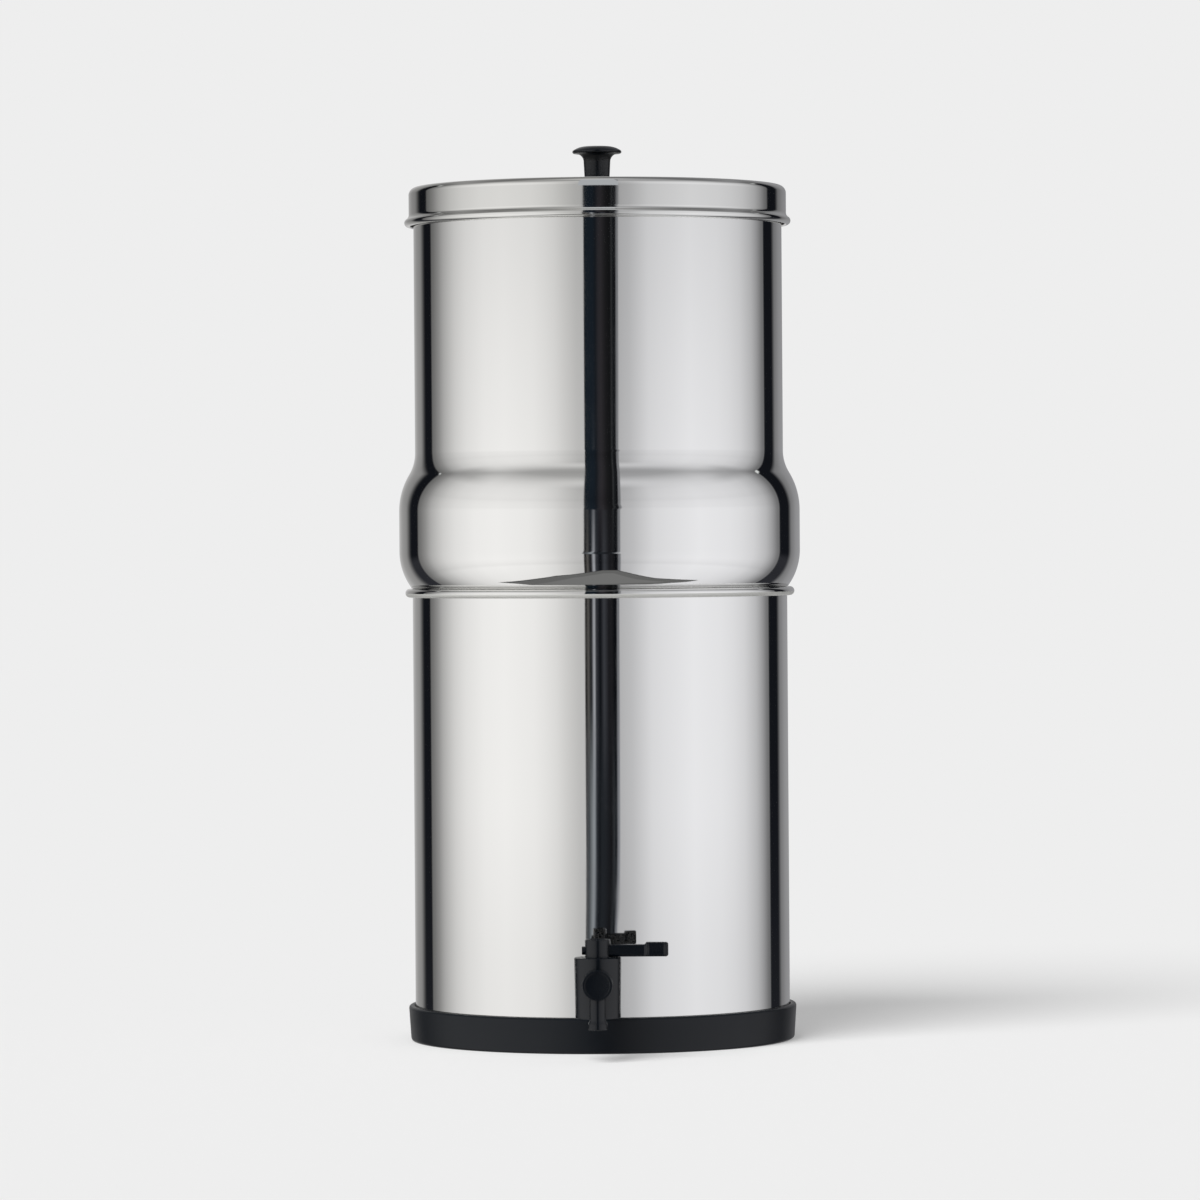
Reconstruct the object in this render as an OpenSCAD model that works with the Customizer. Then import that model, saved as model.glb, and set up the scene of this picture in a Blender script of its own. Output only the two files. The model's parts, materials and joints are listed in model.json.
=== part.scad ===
// Gravity water filter: two stacked steel chambers, a lid, ceramic candles and a plug tap.
// Origin: on the chambers' axis, in the plane that the base ring stands on. The tap points along -Y.

/* [Sheet and clearances] */
// Thickness of the chambers' steel sheet
sheet_t = 0.8; // [0.6:0.1:1]
// Gap between pieces that lift apart
lift_gap = 0.3; // [0.2:0.05:0.5]
// Radial gap of a screw or stem in its hole
hole_gap = 0.05; // [0.02:0.01:0.1]

/* [Base ring] */
// Height of the ring's outer wall
ring_h = 18.9; // [14:0.1:26]
// Thickness of the ring's upright wall
ring_wall = 3.3; // [2.5:0.1:5]
// Thickness of the flange that the chamber stands on
ring_floor = 3; // [2.4:0.1:5]
// Reach of that flange, inwards from the upright wall
ring_flange = 24; // [14:1:40]
// How far the ring's wall leans inwards at its foot
ring_lean = 1.2; // [0:0.1:2]
// Rounding of the ring's lower outer edge
ring_edge_r = 1.8; // [1.2:0.1:4]

/* [Lower chamber] */
// Outside diameter of the lower chamber
lower_d = 202; // [190:1:225]
// Height of the lower chamber, from its underside to the top of its rim
lower_h = 240.4; // [200:0.1:280]
// Rounding of the lower chamber's bottom corner
lower_corner_r = 6; // [4:0.5:10]
// Diameter of the bead rolled on the lower chamber's rim
lower_bead_d = 4.7; // [4:0.1:6.5]

/* [Upper chamber] */
// How far the belly stands out from the lower chamber's wall
belly_out = 7; // [4:0.5:14]
// How far the neck's wall stands in from the lower chamber's wall
neck_in = 1.8; // [0:0.1:5]
// Height of the upper chamber, from its ridge's foot to the top of its rim
upper_h = 213.8; // [190:0.2:250]
// Depth of the spigot that nests in the lower chamber
spigot_depth = 16; // [12:0.5:22]
// Radial gap between the spigot and the lower chamber
spigot_gap = 0.7; // [0.4:0.1:1.5]
// Rounding of the spigot's bottom corner
spigot_corner_r = 8; // [5:0.5:10]
// Section radius of the ridge that rests on the lower rim
ridge_r = 1.2; // [1.1:0.1:1.6]
// How far the middle of the ridge's section stands out from the spigot
ridge_out = 1.1; // [0.8:0.1:1.6]
// How far the belly's foot stands out from the ridge
belly_foot_out = 1; // [0.2:0.1:1.5]
// Radius of the belly's lower curve
belly_low_r = 33; // [26:1:40]
// Height of the belly's straight band
belly_band = 21.6; // [12:0.1:30]
// Radius of the shoulder above the belly
shoulder_r = 35; // [25:1:45]
// Radius of the hollow curve between shoulder and neck
neck_fillet_r = 14; // [8:1:20]
// Diameter of the bead rolled on the neck's rim
neck_bead_d = 2.2; // [2:0.1:2.6]

/* [Lid] */
// Thickness of the lid's sheet
lid_t = 0.7; // [0.6:0.1:1]
// Height of the lid
lid_h = 21; // [16:0.5:30]
// Rounding of the lid's top corner
lid_corner_r = 4; // [3.6:0.1:7]
// Radial gap between the neck's bead and the lid's skirt
skirt_gap = 0.4; // [0.35:0.05:0.8]
// Diameter of the bead turned under along the lid's lower edge
lid_bead_d = 4.2; // [3.4:0.1:4.8]
// How far that bead stands out from the skirt
lid_bead_out = 2.4; // [2:0.1:3]
// Radius of the hollow curve that leads from the skirt into the bead
lid_flare_r = 3; // [2:0.1:5]
// Depth of the dished panel in the lid's top
dish_depth = 2; // [1:0.1:2.5]
// Width of the flat border round the dished panel
dish_border = 9; // [7:0.5:20]
// Diameter of the hole for the knob's screw
lid_hole_d = 5.5; // [5.2:0.1:6.5]

/* [Knob] */
// Height of the knob
knob_h = 23.9; // [20:0.1:32]
// Diameter of the knob's cap
knob_cap_d = 26.5; // [22:0.1:34]
// Radius of the flat middle of the cap's top
knob_flat_r = 6; // [3:0.5:8]
// Diameter of the knob's neck at its foot
knob_neck_d = 12.8; // [12:0.1:16]
// How much wider the neck is under the flare than at its foot
knob_neck_swell = 1.6; // [0:0.1:3]
// Height of the cap, from its rounded top to its underside
knob_cap_t = 3.9; // [3:0.1:5]
// Radius of the flare under the cap
knob_flare_r = 4.3; // [3:0.1:5]
// Diameter of the knob's screw
screw_d = 5; // [4:0.5:5]
// Length of the screw below its head
screw_l = 14; // [10:0.5:16]

/* [Tap] */
// Height of the tap's stem above the surface that the ring stands on
tap_z = 40.4; // [36:0.1:60]
// Distance from the lower chamber's wall to the tap's barrel axis
tap_reach = 43; // [38:0.5:60]
// Diameter of the barrel at its top
barrel_d = 24.5; // [22:0.5:30]
// How much narrower the barrel is at its foot
barrel_taper = 1; // [0:0.1:2]
// Height of the barrel above the stem's axis
barrel_up = 13.3; // [13:0.1:20]
// Height of the barrel below the stem's axis
barrel_down = 18; // [15:0.1:19]
// Diameter of the spout's round front
spout_d = 15.9; // [14:0.1:18]
// Reach of the spout, forwards from the barrel's axis
spout_reach = 19.5; // [18:0.5:30]
// Outside diameter of the nozzle
nozzle_d = 8.4; // [8:0.1:9.4]
// Outside diameter of the lip at the nozzle's mouth
nozzle_lip_d = 10.4; // [9.6:0.1:12]
// Diameter of the nozzle's bore
nozzle_bore_d = 6.4; // [4:0.1:6.6]
// Height of the nozzle's mouth above the surface that the ring stands on
nozzle_z = 17.4; // [12:0.1:20]
// Diameter of the threaded stem
stem_d = 15.8; // [14:0.1:18]
// Diameter of the stem's waterway
stem_bore_d = 8; // [6:0.5:9]
// Diameter of the flange that presses on the outer washer
flange_d = 22.5; // [21:0.5:23]
// Thickness of that flange
flange_t = 3.5; // [2.5:0.5:5]
// Thickness of each rubber washer at its thinnest
tap_washer_t = 3; // [2:0.5:4]
// Width of the tap's nut across its flats
nut_af = 24; // [22:0.5:28]
// Thickness of the tap's nut
nut_t = 7; // [5:0.5:10]

/* [Tap spindle and lever] */
// Diameter of the plug that turns in the barrel
plug_d = 16; // [14:0.5:17]
// Running clearance round the plug
plug_gap = 0.05; // [0.03:0.01:0.08]
// Diameter of the waterway across the plug
plug_bore_d = 7.2; // [5:0.1:8]
// Diameter of the hub on top of the spindle
hub_d = 13.2; // [12:0.1:14]
// Height of the hub above the barrel
hub_h = 9.4; // [9:0.1:12]
// Reach of the lever from the spindle's axis
lever_reach = 36.5; // [32:0.5:45]
// Height of the lever's paddle
paddle_h = 7.5; // [6.7:0.1:8]
// Length of the lever's paddle
paddle_l = 11.5; // [9:0.5:14]
// Height of the lever's arm
arm_h = 6.3; // [5:0.1:6.4]
// Thickness of the lever, front to back
lever_t = 5.4; // [4.5:0.1:6.5]
// Diameter of the lever's pin through the hub
lever_pin_d = 4.3; // [3.5:0.1:4.6]

/* [Candles and blanking plugs] */
// Distance from the chambers' axis to each hole in the upper chamber's floor
hole_pitch_r = 52; // [49:0.5:56]
// Diameter of the ceramic candle
candle_d = 49; // [44:0.5:51]
// Height of the candle above its washer
candle_h = 182; // [150:1:195]
// Thickness of the ceramic wall
ceramic_t = 7; // [5:0.5:9]
// Height of the candle's plastic cap
cap_h = 14; // [12:0.5:20]
// Diameter of the threaded stem of a candle or blanking plug
thread_d = 10; // [8:0.5:12]
// Diameter of the bore through a candle's stem
outlet_d = 4.4; // [3:0.1:5]
// Length of a candle's stem below its washer
candle_stem_l = 38; // [30:1:45]
// Length of a blanking plug's stem below its washer
plug_stem_l = 24; // [20:1:30]
// Thickness of the rubber floor washers
floor_washer_t = 3; // [2:0.5:4]
// Diameter of the rubber floor washers
floor_washer_d = 24; // [20:0.5:28]
// Span of a wing nut's wings
wing_span = 40; // [32:1:46]

/* [Hidden] */
$fn = 96;
wall_fn = 720;       // facets of the chamber's wall where a washer is cut to fit it
arc_error = 0.02;    // greatest distance between a true arc and the chords that draw it
past = 1;            // how far a cutting shape runs past what it cuts

// Radii of the chambers, their spigot and their rims
lower_r = lower_d / 2;
lower_inner_r = lower_r - sheet_t;
belly_r = lower_r + belly_out;
neck_r = lower_r - neck_in;
spigot_r = lower_inner_r - spigot_gap;
lower_bead_r = lower_bead_d / 2;
lower_bead_x = lower_inner_r + lower_bead_r;
ridge_x = spigot_r + ridge_out;
neck_bead_r = neck_bead_d / 2;
lid_bead_r = lid_bead_d / 2;

// Heights of the chambers: the ridge's round section sits on the lower bead's round section
lower_z = ring_floor;
lower_rim_z = lower_z + lower_h;
ridge_reach = lower_bead_r + ridge_r + lift_gap;
ridge_rise = sqrt(ridge_reach ^ 2 - (lower_bead_x - ridge_x) ^ 2);
seat_z = lower_rim_z - lower_bead_r + ridge_rise - ridge_r;
floor_z = seat_z - spigot_depth;
upper_floor_top = floor_z + sheet_t;
neck_rim_z = seat_z + upper_h;

// Belly: it starts just outside the ridge and swings out to the band
ridge_end_a = 60;
belly_foot_r = ridge_x + ridge_r + belly_foot_out;
belly_foot_z = seat_z + 2 * ridge_r;
belly_low_a = acos(1 - (belly_r - belly_foot_r) / belly_low_r);
band_z = belly_foot_z + belly_low_r * sin(belly_low_a);
shoulder_z = band_z + belly_band;
shoulder_a = acos(1 - (belly_r - neck_r) / (shoulder_r + neck_fillet_r));
neck_z = shoulder_z + (shoulder_r + neck_fillet_r) * sin(shoulder_a);

// Lid: its inner corner clears the neck's bead by the lift gap
neck_bead_x = neck_r - sheet_t + neck_bead_r;
lid_inner_r = neck_bead_x + neck_bead_r + skirt_gap;
lid_r = lid_inner_r + lid_t;
lid_corner_in = lid_corner_r - lid_t;
bead_reach = max(lid_corner_in - neck_bead_r - lift_gap, 0);
bead_offset = min(max(lid_corner_in - neck_bead_r - skirt_gap, 0), bead_reach);
bead_rise = sqrt(bead_reach * bead_reach - bead_offset * bead_offset);
lid_inner_z = neck_rim_z - neck_bead_r + max(lid_corner_in - bead_rise, neck_bead_r + lift_gap);
lid_z = lid_inner_z + lid_t;
dish_z = lid_z - dish_depth;
dish_r = lid_r - lid_corner_r - dish_border;
dish_bend_r = 1.2;

// Lid's lower edge: the curl ends before it reaches further in than the skirt
lid_bead_x = lid_r + lid_bead_out - lid_bead_r;
lid_bead_z = lid_z - lid_h + lid_bead_r;
lid_flare_reach = lid_flare_r + lid_bead_r;
lid_flare_a = acos((lid_r + lid_flare_r - lid_bead_x) / lid_flare_reach);
lid_curl_end = -180 + acos(min((lid_bead_x - lid_inner_r) / lid_bead_r, 1));

// Tap: the barrel's axis, and the levels of its plug and lever
barrel_y = -(lower_r + tap_reach);
barrel_top = tap_z + barrel_up;
barrel_bottom = tap_z - barrel_down;
barrel_floor = 3.4;
plug_r = plug_d / 2;
plug_bottom = barrel_bottom + barrel_floor;
plug_foot_gap = 0.1;
tail_r = 2.8;
tail_head_r = tail_r + 0.9;
stem_r = stem_d / 2;
wall_hole_r = stem_r + 0.3;
nut_y = -(lower_inner_r - tap_washer_t);
stem_end_y = nut_y + nut_t + 4;
nozzle_y = barrel_y - spout_reach + nozzle_lip_d / 2;
lever_gap = 0.35;
lever_z = barrel_top + lever_gap + paddle_h / 2;
pin_z = barrel_top + lever_gap + arm_h / 2;
hub_gap = 0.2;
o_ring_section = 1.8;
o_ring_squash = 0.02;
tap_washer_r = flange_d / 2 - 0.3;

// Candles, plugs and their nuts
thread_r = thread_d / 2;
floor_hole_r = thread_r + 0.5;
washer_top = upper_floor_top + floor_washer_t;
cap_wall = 1.5;
cap_floor = 4;
ceramic_z = washer_top + cap_floor;
ceramic_top = washer_top + candle_h;
dome_share = 0.8;    // share of the ceramic's radius that the dome's rounding takes
nut_hub_r = thread_r + 4;
nut_flange_r = thread_r + 5.5;
nut_flange_t = 2;
nut_hub_h = 9;
wing_drop = 13;
wing_t = 3.4;
wing_corner_r = 4;
plug_head_r = floor_washer_d / 2 - 0.5;
plug_head_h = 5;

// Lid's knob and screw
screw_head_r = screw_d * 0.95;
screw_head_h = screw_d * 0.6;
knob_washer_r = screw_d * 1.5;
knob_washer_t = 1;
knob_bore_l = screw_l - lid_t - knob_washer_t + 1.5;

steel = "silver";
black_plastic = "#1c1d20";
black_rubber = "#17181b";
white_plastic = "#ecebe6";
ceramic = "#f3f1ea";
carbon = "#2b2b2b";

// ---- Profiles -------------------------------------------------------------------------------

// Number of chords that keeps an arc of radius r within arc_error
function chords(r, sweep) =
    max(2, ceil(abs(sweep) / (2 * acos(1 - arc_error / max(r, 2 * arc_error)))));

// Points along an arc about c with radius r, from angle a to angle b
function arc(c, r, a, b) =
    let (n = chords(r, b - a))
    [for (i = [0:n]) c + r * [cos(a + (b - a) * i / n), sin(a + (b - a) * i / n)]];

function reversed(points) = [for (i = [len(points) - 1:-1:0]) points[i]];

// A sheet of thickness t spun about Z: face(d) is its section's line at depth d below the outer face
module spun_sheet(face, t) {
    rotate_extrude() polygon(concat(face(0), reversed(face(t))));
}

// Cylinder lying along Y from y0 to y1 at height z
module rod_y(y0, y1, r, z) {
    translate([0, max(y0, y1), z]) rotate([90, 0, 0]) cylinder(h = abs(y1 - y0), r = r);
}

module ring(z, h, r_out, r_in) {
    translate([0, 0, z]) difference() {
        cylinder(h = h, r = r_out);
        translate([0, 0, -past]) cylinder(h = h + 2 * past, r = r_in);
    }
}

// ---- Base ring ------------------------------------------------------------------------------

module base_ring() {
    bore_r = lower_r + lift_gap;
    top_r = bore_r + ring_wall;
    foot_r = top_r - ring_lean;
    flange_r = bore_r - ring_flange;
    groove_w = 2;
    groove_depth = 0.8;
    lip_r = 1.5;
    lip_edge = 0.6;
    color(black_rubber) difference() {
        rotate_extrude() polygon(concat(
            [[flange_r, 0]],
            arc([foot_r - ring_edge_r, ring_edge_r], ring_edge_r, -90, 0),
            arc([top_r - lip_r, ring_h - lip_r], lip_r, 0, 90),
            [[bore_r + lip_edge, ring_h], [bore_r, ring_h - lip_edge], [bore_r, ring_floor],
             [flange_r, ring_floor]]));
        for (r = [flange_r + 6, flange_r + 12])
            ring(-past, groove_depth + past, r + groove_w, r);
    }
}

// ---- Lower chamber and rims -----------------------------------------------------------------

// Section of a rim rolled outwards over a wall whose inner face is at x
function rolled(x, z, bead_r, d) =
    arc([x + bead_r, z], bead_r - sheet_t + d, 180, -118);

lower_face = function (d) concat(
    [[0, lower_z + d]],
    arc([lower_r - lower_corner_r, lower_z + lower_corner_r], lower_corner_r - d, -90, 0),
    rolled(lower_inner_r, lower_rim_z - lower_bead_r, lower_bead_r, d));

module lower_chamber() {
    color(steel) difference() {
        spun_sheet(lower_face, sheet_t);
        rod_y(-lower_r - past, -lower_inner_r + lower_corner_r, wall_hole_r, tap_z);
    }
}

// ---- Tap ------------------------------------------------------------------------------------

module tap_outer_washer() {
    face_y = -(lower_r + tap_washer_t);
    color(black_rubber) difference() {
        rod_y(face_y, -lower_r + past, tap_washer_r, tap_z);
        rod_y(face_y - past, -lower_r + 2 * past, wall_hole_r, tap_z);
        cylinder(h = lower_h, r = lower_r, $fn = wall_fn);
    }
}

module tap_inner_washer() {
    color(black_rubber) intersection() {
        difference() {
            rod_y(-lower_r, nut_y, tap_washer_r, tap_z);
            rod_y(-lower_r - past, nut_y + past, wall_hole_r, tap_z);
        }
        cylinder(h = lower_h, r = lower_inner_r, $fn = wall_fn);
    }
}

module tap_nut() {
    corner_r = nut_af / 2 / cos(30);
    turned_out = 0.4;
    color(black_plastic) difference() {
        intersection() {
            translate([0, nut_y + nut_t, tap_z]) rotate([90, 0, 0])
                cylinder(h = nut_t, r = corner_r, $fn = 6);
            // turned corners
            translate([0, nut_y, tap_z]) rotate([-90, 0, 0])
                cylinder(h = nut_t, r1 = corner_r + nut_t, r2 = nut_af / 2 + turned_out);
        }
        rod_y(nut_y - past, nut_y + nut_t + past, stem_r + hole_gap, tap_z);
    }
}

module tap_body() {
    washer_y = -(lower_r + tap_washer_t);
    spout_front = barrel_y - spout_reach;
    top_r = barrel_d / 2;
    foot_r = top_r - barrel_taper / 2;
    spout_edge = 0.5;
    barrel_edge = 0.6;
    mouth_edge = 0.5;
    lip_h = 3;
    color(black_plastic) difference() {
        union() {
            // barrel, its edges rounded
            translate([0, barrel_y, 0]) rotate_extrude() polygon(concat(
                [[0, barrel_bottom]],
                arc([foot_r - barrel_edge, barrel_bottom + barrel_edge], barrel_edge, -90, 0),
                arc([top_r - barrel_edge, barrel_top - barrel_edge], barrel_edge, 0, 90),
                [[0, barrel_top]]));
            rod_y(barrel_y, stem_end_y, stem_r, tap_z);
            rod_y(washer_y - flange_t, washer_y, flange_d / 2, tap_z);
            // spout with a rounded front
            translate([0, barrel_y, tap_z]) rotate([90, 0, 0]) rotate_extrude() polygon(concat(
                [[0, 0], [spout_d / 2, 0]],
                arc([spout_d / 2 - spout_edge, spout_reach - spout_edge], spout_edge, 0, 90),
                [[0, spout_reach]]));
            // nozzle that swells to a lip at its mouth
            translate([0, nozzle_y, 0]) rotate_extrude() polygon(concat(
                [[0, nozzle_z]],
                arc([nozzle_lip_d / 2 - mouth_edge, nozzle_z + mouth_edge], mouth_edge, -90, 0),
                [[nozzle_lip_d / 2, nozzle_z + lip_h],
                 [nozzle_d / 2, nozzle_z + lip_h + (nozzle_lip_d - nozzle_d) / 2],
                 [nozzle_d / 2, tap_z], [0, tap_z]]));
        }
        // plug's seat, the hole for its tail, and the waterway
        translate([0, barrel_y, plug_bottom]) cylinder(h = barrel_top, r = plug_r);
        translate([0, barrel_y, barrel_bottom - past])
            cylinder(h = barrel_floor + 2 * past, r = tail_r + plug_gap);
        rod_y(barrel_y, stem_end_y + past, stem_bore_d / 2, tap_z);
        rod_y(nozzle_y, barrel_y, plug_bore_d / 2, tap_z);
        translate([0, nozzle_y, nozzle_z - past])
            cylinder(h = tap_z - nozzle_z + past, r = nozzle_bore_d / 2);
    }
}

// Levels of the two O-rings on the plug
function o_ring_levels() =
    [plug_bottom + 3, barrel_top - 3];

module tap_spindle() {
    turning_r = plug_r - plug_gap;
    tail_top = plug_bottom + plug_foot_gap;
    tail_z = barrel_bottom - plug_foot_gap;
    head_h = 2;
    head_lead = 0.8;
    head_band = 0.4;
    slot = 1.2;
    hub_edge = 0.7;
    hub_top = barrel_top + hub_h;
    hub_r = hub_d / 2;
    color(black_plastic) translate([0, barrel_y, 0]) difference() {
        rotate_extrude() polygon(concat(
            // split tail with a snap head under the barrel
            [[0, tail_z - head_h], [tail_r - head_lead, tail_z - head_h],
             [tail_head_r, tail_z - head_band], [tail_head_r, tail_z], [tail_r, tail_z],
             [tail_r, tail_top], [turning_r, tail_top], [turning_r, barrel_top],
             [hub_r, barrel_top + hub_gap]],
            arc([hub_r - hub_edge, hub_top - hub_edge], hub_edge, 0, 90),
            [[0, hub_top]]));
        // O-ring grooves
        for (z = o_ring_levels())
            ring(z - o_ring_section / 2, o_ring_section, turning_r + past,
                 turning_r - o_ring_section + o_ring_squash);
        // waterway across the plug, closed to the stem while the lever points along X
        translate([-plug_d, 0, tap_z]) rotate([0, 90, 0])
            cylinder(h = 2 * plug_d, r = plug_bore_d / 2);
        // hole for the lever's pin
        translate([-plug_d, 0, pin_z]) rotate([0, 90, 0])
            cylinder(h = 2 * plug_d, r = lever_pin_d / 2 + hole_gap);
        // slot that lets the snap head close
        translate([-slot / 2, -tail_head_r - past, tail_z - head_h - past])
            cube([slot, 2 * (tail_head_r + past), head_h + barrel_floor]);
    }
}

module spindle_o_rings() {
    centre_r = plug_r - plug_gap - o_ring_section / 2 + o_ring_squash / 2;
    color(black_rubber) translate([0, barrel_y, 0])
        for (z = o_ring_levels())
            translate([0, 0, z]) rotate_extrude()
                translate([centre_r, 0]) circle(r = (o_ring_section - o_ring_squash) / 2);
}

module tap_lever() {
    hub_r = hub_d / 2 + hole_gap;
    paddle_x = lever_reach - paddle_l;
    low = -paddle_h / 2;
    corner = 1;
    shoulder_dip = 0.2;
    pin_out = 1.6;
    pin_in = 1;
    recess = 0.4;
    border = 0.9;
    step = 1.2;
    color(black_plastic) translate([0, barrel_y, lever_z]) {
        difference() {
            // arm and paddle, seen from the front
            translate([0, lever_t / 2, 0]) rotate([90, 0, 0]) linear_extrude(height = lever_t)
                polygon(concat(
                    [[0, low]],
                    arc([lever_reach - corner, low + corner], corner, -90, 0),
                    arc([lever_reach - corner, -low - corner], corner, 0, 90),
                    [[paddle_x, -low - shoulder_dip], [paddle_x - step, low + arm_h],
                     [0, low + arm_h]]));
            translate([0, 0, low - past]) cylinder(h = paddle_h + 2 * past, r = hub_r);
            // shallow thumb recess on both faces of the paddle, and the step before it
            for (side = [-1, 1]) {
                translate([paddle_x + border, side * (lever_t / 2) - recess, low + border])
                    cube([paddle_l - 2 * border, 2 * recess, paddle_h - 2 * border]);
                translate([paddle_x - step, side * (lever_t / 2) - recess, low - past])
                    cube([step, 2 * recess, paddle_h + 2 * past]);
            }
        }
        // pin that runs through the hub and shows on its far side
        translate([-hub_d / 2 - pin_out, 0, pin_z - lever_z]) rotate([0, 90, 0])
            cylinder(h = hub_d + pin_out + pin_in, r = lever_pin_d / 2);
    }
}

// ---- Upper chamber --------------------------------------------------------------------------

upper_face = function (d) concat(
    [[0, floor_z + d]],
    arc([spigot_r - spigot_corner_r, floor_z + spigot_corner_r], spigot_corner_r - d, -90, 0),
    // ridge that rests on the lower rim
    [[spigot_r - d, seat_z + d]],
    arc([ridge_x, seat_z + ridge_r], ridge_r - d, -90, ridge_end_a),
    // belly, shoulder and neck
    arc([belly_r - belly_low_r, band_z], belly_low_r - d, -belly_low_a, 0),
    arc([belly_r - shoulder_r, shoulder_z], shoulder_r - d, 0, shoulder_a),
    arc([neck_r + neck_fillet_r, neck_z], neck_fillet_r + d, 180 + shoulder_a, 180),
    rolled(neck_r - sheet_t, neck_rim_z - neck_bead_r, neck_bead_r, d));

// Puts its children on the floor hole that lies in this direction
module at_hole(direction) {
    translate([cos(direction), sin(direction), 0] * hole_pitch_r) children();
}

module upper_chamber() {
    color(steel) difference() {
        spun_sheet(upper_face, sheet_t);
        for (direction = [0:90:270])
            at_hole(direction) translate([0, 0, floor_z - past])
                cylinder(h = sheet_t + 2 * past, r = floor_hole_r);
    }
}

// ---- Candles and blanking plugs -------------------------------------------------------------

// Section of a domed cylinder of radius r between z0 and z1
function domed(r, z0, z1) =
    let (round_r = r * dome_share)
    concat([[0, z0], [r, z0]], arc([r - round_r, z1 - round_r], round_r, 0, 90), [[0, z1]]);

module candle_ceramic(direction) {
    color(ceramic) at_hole(direction) difference() {
        rotate_extrude() polygon(domed(candle_d / 2, ceramic_z, ceramic_top));
        rotate_extrude() polygon(domed(candle_d / 2 - ceramic_t, ceramic_z - past,
                                       ceramic_top - ceramic_t));
    }
}

module candle_carbon(direction) {
    color(carbon) at_hole(direction) rotate_extrude()
        polygon(domed(candle_d / 2 - ceramic_t - hole_gap, ceramic_z,
                      ceramic_top - ceramic_t - hole_gap));
}

module candle_cap(direction) {
    cap_r = candle_d / 2 + hole_gap + cap_wall;
    edge = 2.5;
    rim_edge = 0.5;
    stem_z = washer_top - candle_stem_l;
    lead = 0.8;
    color(white_plastic) at_hole(direction) difference() {
        rotate_extrude() polygon(concat(
            [[0, stem_z], [thread_r - lead, stem_z], [thread_r, stem_z + lead],
             [thread_r, washer_top]],
            arc([cap_r - edge, washer_top + edge], edge, -90, 0),
            arc([cap_r - rim_edge, washer_top + cap_h - rim_edge], rim_edge, 0, 90),
            [[0, washer_top + cap_h]]));
        translate([0, 0, ceramic_z]) cylinder(h = cap_h, r = candle_d / 2 + hole_gap);
        translate([0, 0, stem_z - past])
            cylinder(h = candle_stem_l + cap_floor + 2 * past, r = outlet_d / 2);
    }
}

module floor_washer(direction) {
    color(black_rubber) at_hole(direction)
        ring(upper_floor_top, floor_washer_t, floor_washer_d / 2, thread_r + hole_gap);
}

// Wing nut tight under the chamber's floor
module wing_nut(direction, colour) {
    hub_taper = 1;
    color(colour) at_hole(direction) translate([0, 0, floor_z]) rotate([0, 0, direction + 45])
        difference() {
            union() {
                translate([0, 0, -nut_flange_t]) cylinder(h = nut_flange_t, r = nut_flange_r);
                translate([0, 0, -nut_hub_h]) cylinder(h = nut_hub_h, r1 = nut_hub_r - hub_taper,
                                                       r2 = nut_hub_r);
                translate([0, wing_t / 2, 0]) rotate([90, 0, 0]) linear_extrude(height = wing_t)
                    wings();
            }
            translate([0, 0, -wing_drop - past])
                cylinder(h = wing_drop + 2 * past, r = thread_r + hole_gap);
        }
}

// Both wings, flared outwards and down from the nut's flange
module wings() {
    tip = wing_span / 2 - wing_corner_r;
    for (side = [0, 1])
        mirror([side, 0]) polygon(concat(
            [[thread_r, -nut_flange_t], [nut_flange_r, -nut_flange_t]],
            reversed(arc([tip, -wing_drop + 2 * wing_corner_r], wing_corner_r, 0, 90)),
            reversed(arc([tip, -wing_drop + wing_corner_r], wing_corner_r, -90, 0)),
            [[thread_r, -nut_hub_h]]));
}

module blanking_plug(direction) {
    edge = 2;
    color(white_plastic) at_hole(direction) rotate_extrude() polygon(concat(
        [[0, washer_top - plug_stem_l], [thread_r, washer_top - plug_stem_l],
         [thread_r, washer_top], [plug_head_r, washer_top]],
        arc([plug_head_r - edge, washer_top + plug_head_h - edge], edge, 0, 90),
        [[0, washer_top + plug_head_h]]));
}

// ---- Lid and knob ---------------------------------------------------------------------------

lid_face = function (d) concat(
    [[0, dish_z - d]],
    arc([dish_r - dish_bend_r, dish_z + dish_bend_r], dish_bend_r + d, -90, -45),
    arc([dish_r + dish_bend_r, lid_z - dish_bend_r], dish_bend_r - d, 135, 90),
    arc([lid_r - lid_corner_r, lid_z - lid_corner_r], lid_corner_r - d, 90, 0),
    arc([lid_r + lid_flare_r, lid_bead_z + lid_flare_reach * sin(lid_flare_a)],
        lid_flare_r + d, 180, 180 + lid_flare_a),
    arc([lid_bead_x, lid_bead_z], lid_bead_r - d, lid_flare_a, lid_curl_end));

module lid() {
    color(steel) difference() {
        spun_sheet(lid_face, lid_t);
        translate([0, 0, dish_z - lid_t - past]) cylinder(h = lid_t + 2 * past, r = lid_hole_d / 2);
    }
}

module lid_knob() {
    foot_r = knob_neck_d / 2;
    neck_r = foot_r + knob_neck_swell / 2;
    cap_r = knob_cap_d / 2;
    cap_edge = 0.95;
    top = dish_z + knob_h;
    under = top - knob_cap_t;
    flare_z = under - knob_flare_r;
    // the top's rounding runs from its flat middle into the edge's rounding
    across = cap_r - cap_edge - knob_flat_r;
    down = knob_cap_t - cap_edge;
    crown_r = (across ^ 2 + down ^ 2 - cap_edge ^ 2) / (2 * (down - cap_edge));
    crown_a = atan2(crown_r - down, across);
    color(black_plastic) difference() {
        rotate_extrude() polygon(concat(
            // neck, flare and cap
            [[0, dish_z], [foot_r, dish_z]],
            arc([neck_r + knob_flare_r, flare_z], knob_flare_r, 180, 90),
            arc([cap_r - cap_edge, under + cap_edge], cap_edge, -90, crown_a),
            arc([knob_flat_r, top - crown_r], crown_r, crown_a, 90),
            [[0, top]]));
        translate([0, 0, dish_z - past]) cylinder(h = knob_bore_l + past,
                                                  r = screw_d / 2 + hole_gap);
    }
}

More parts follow.
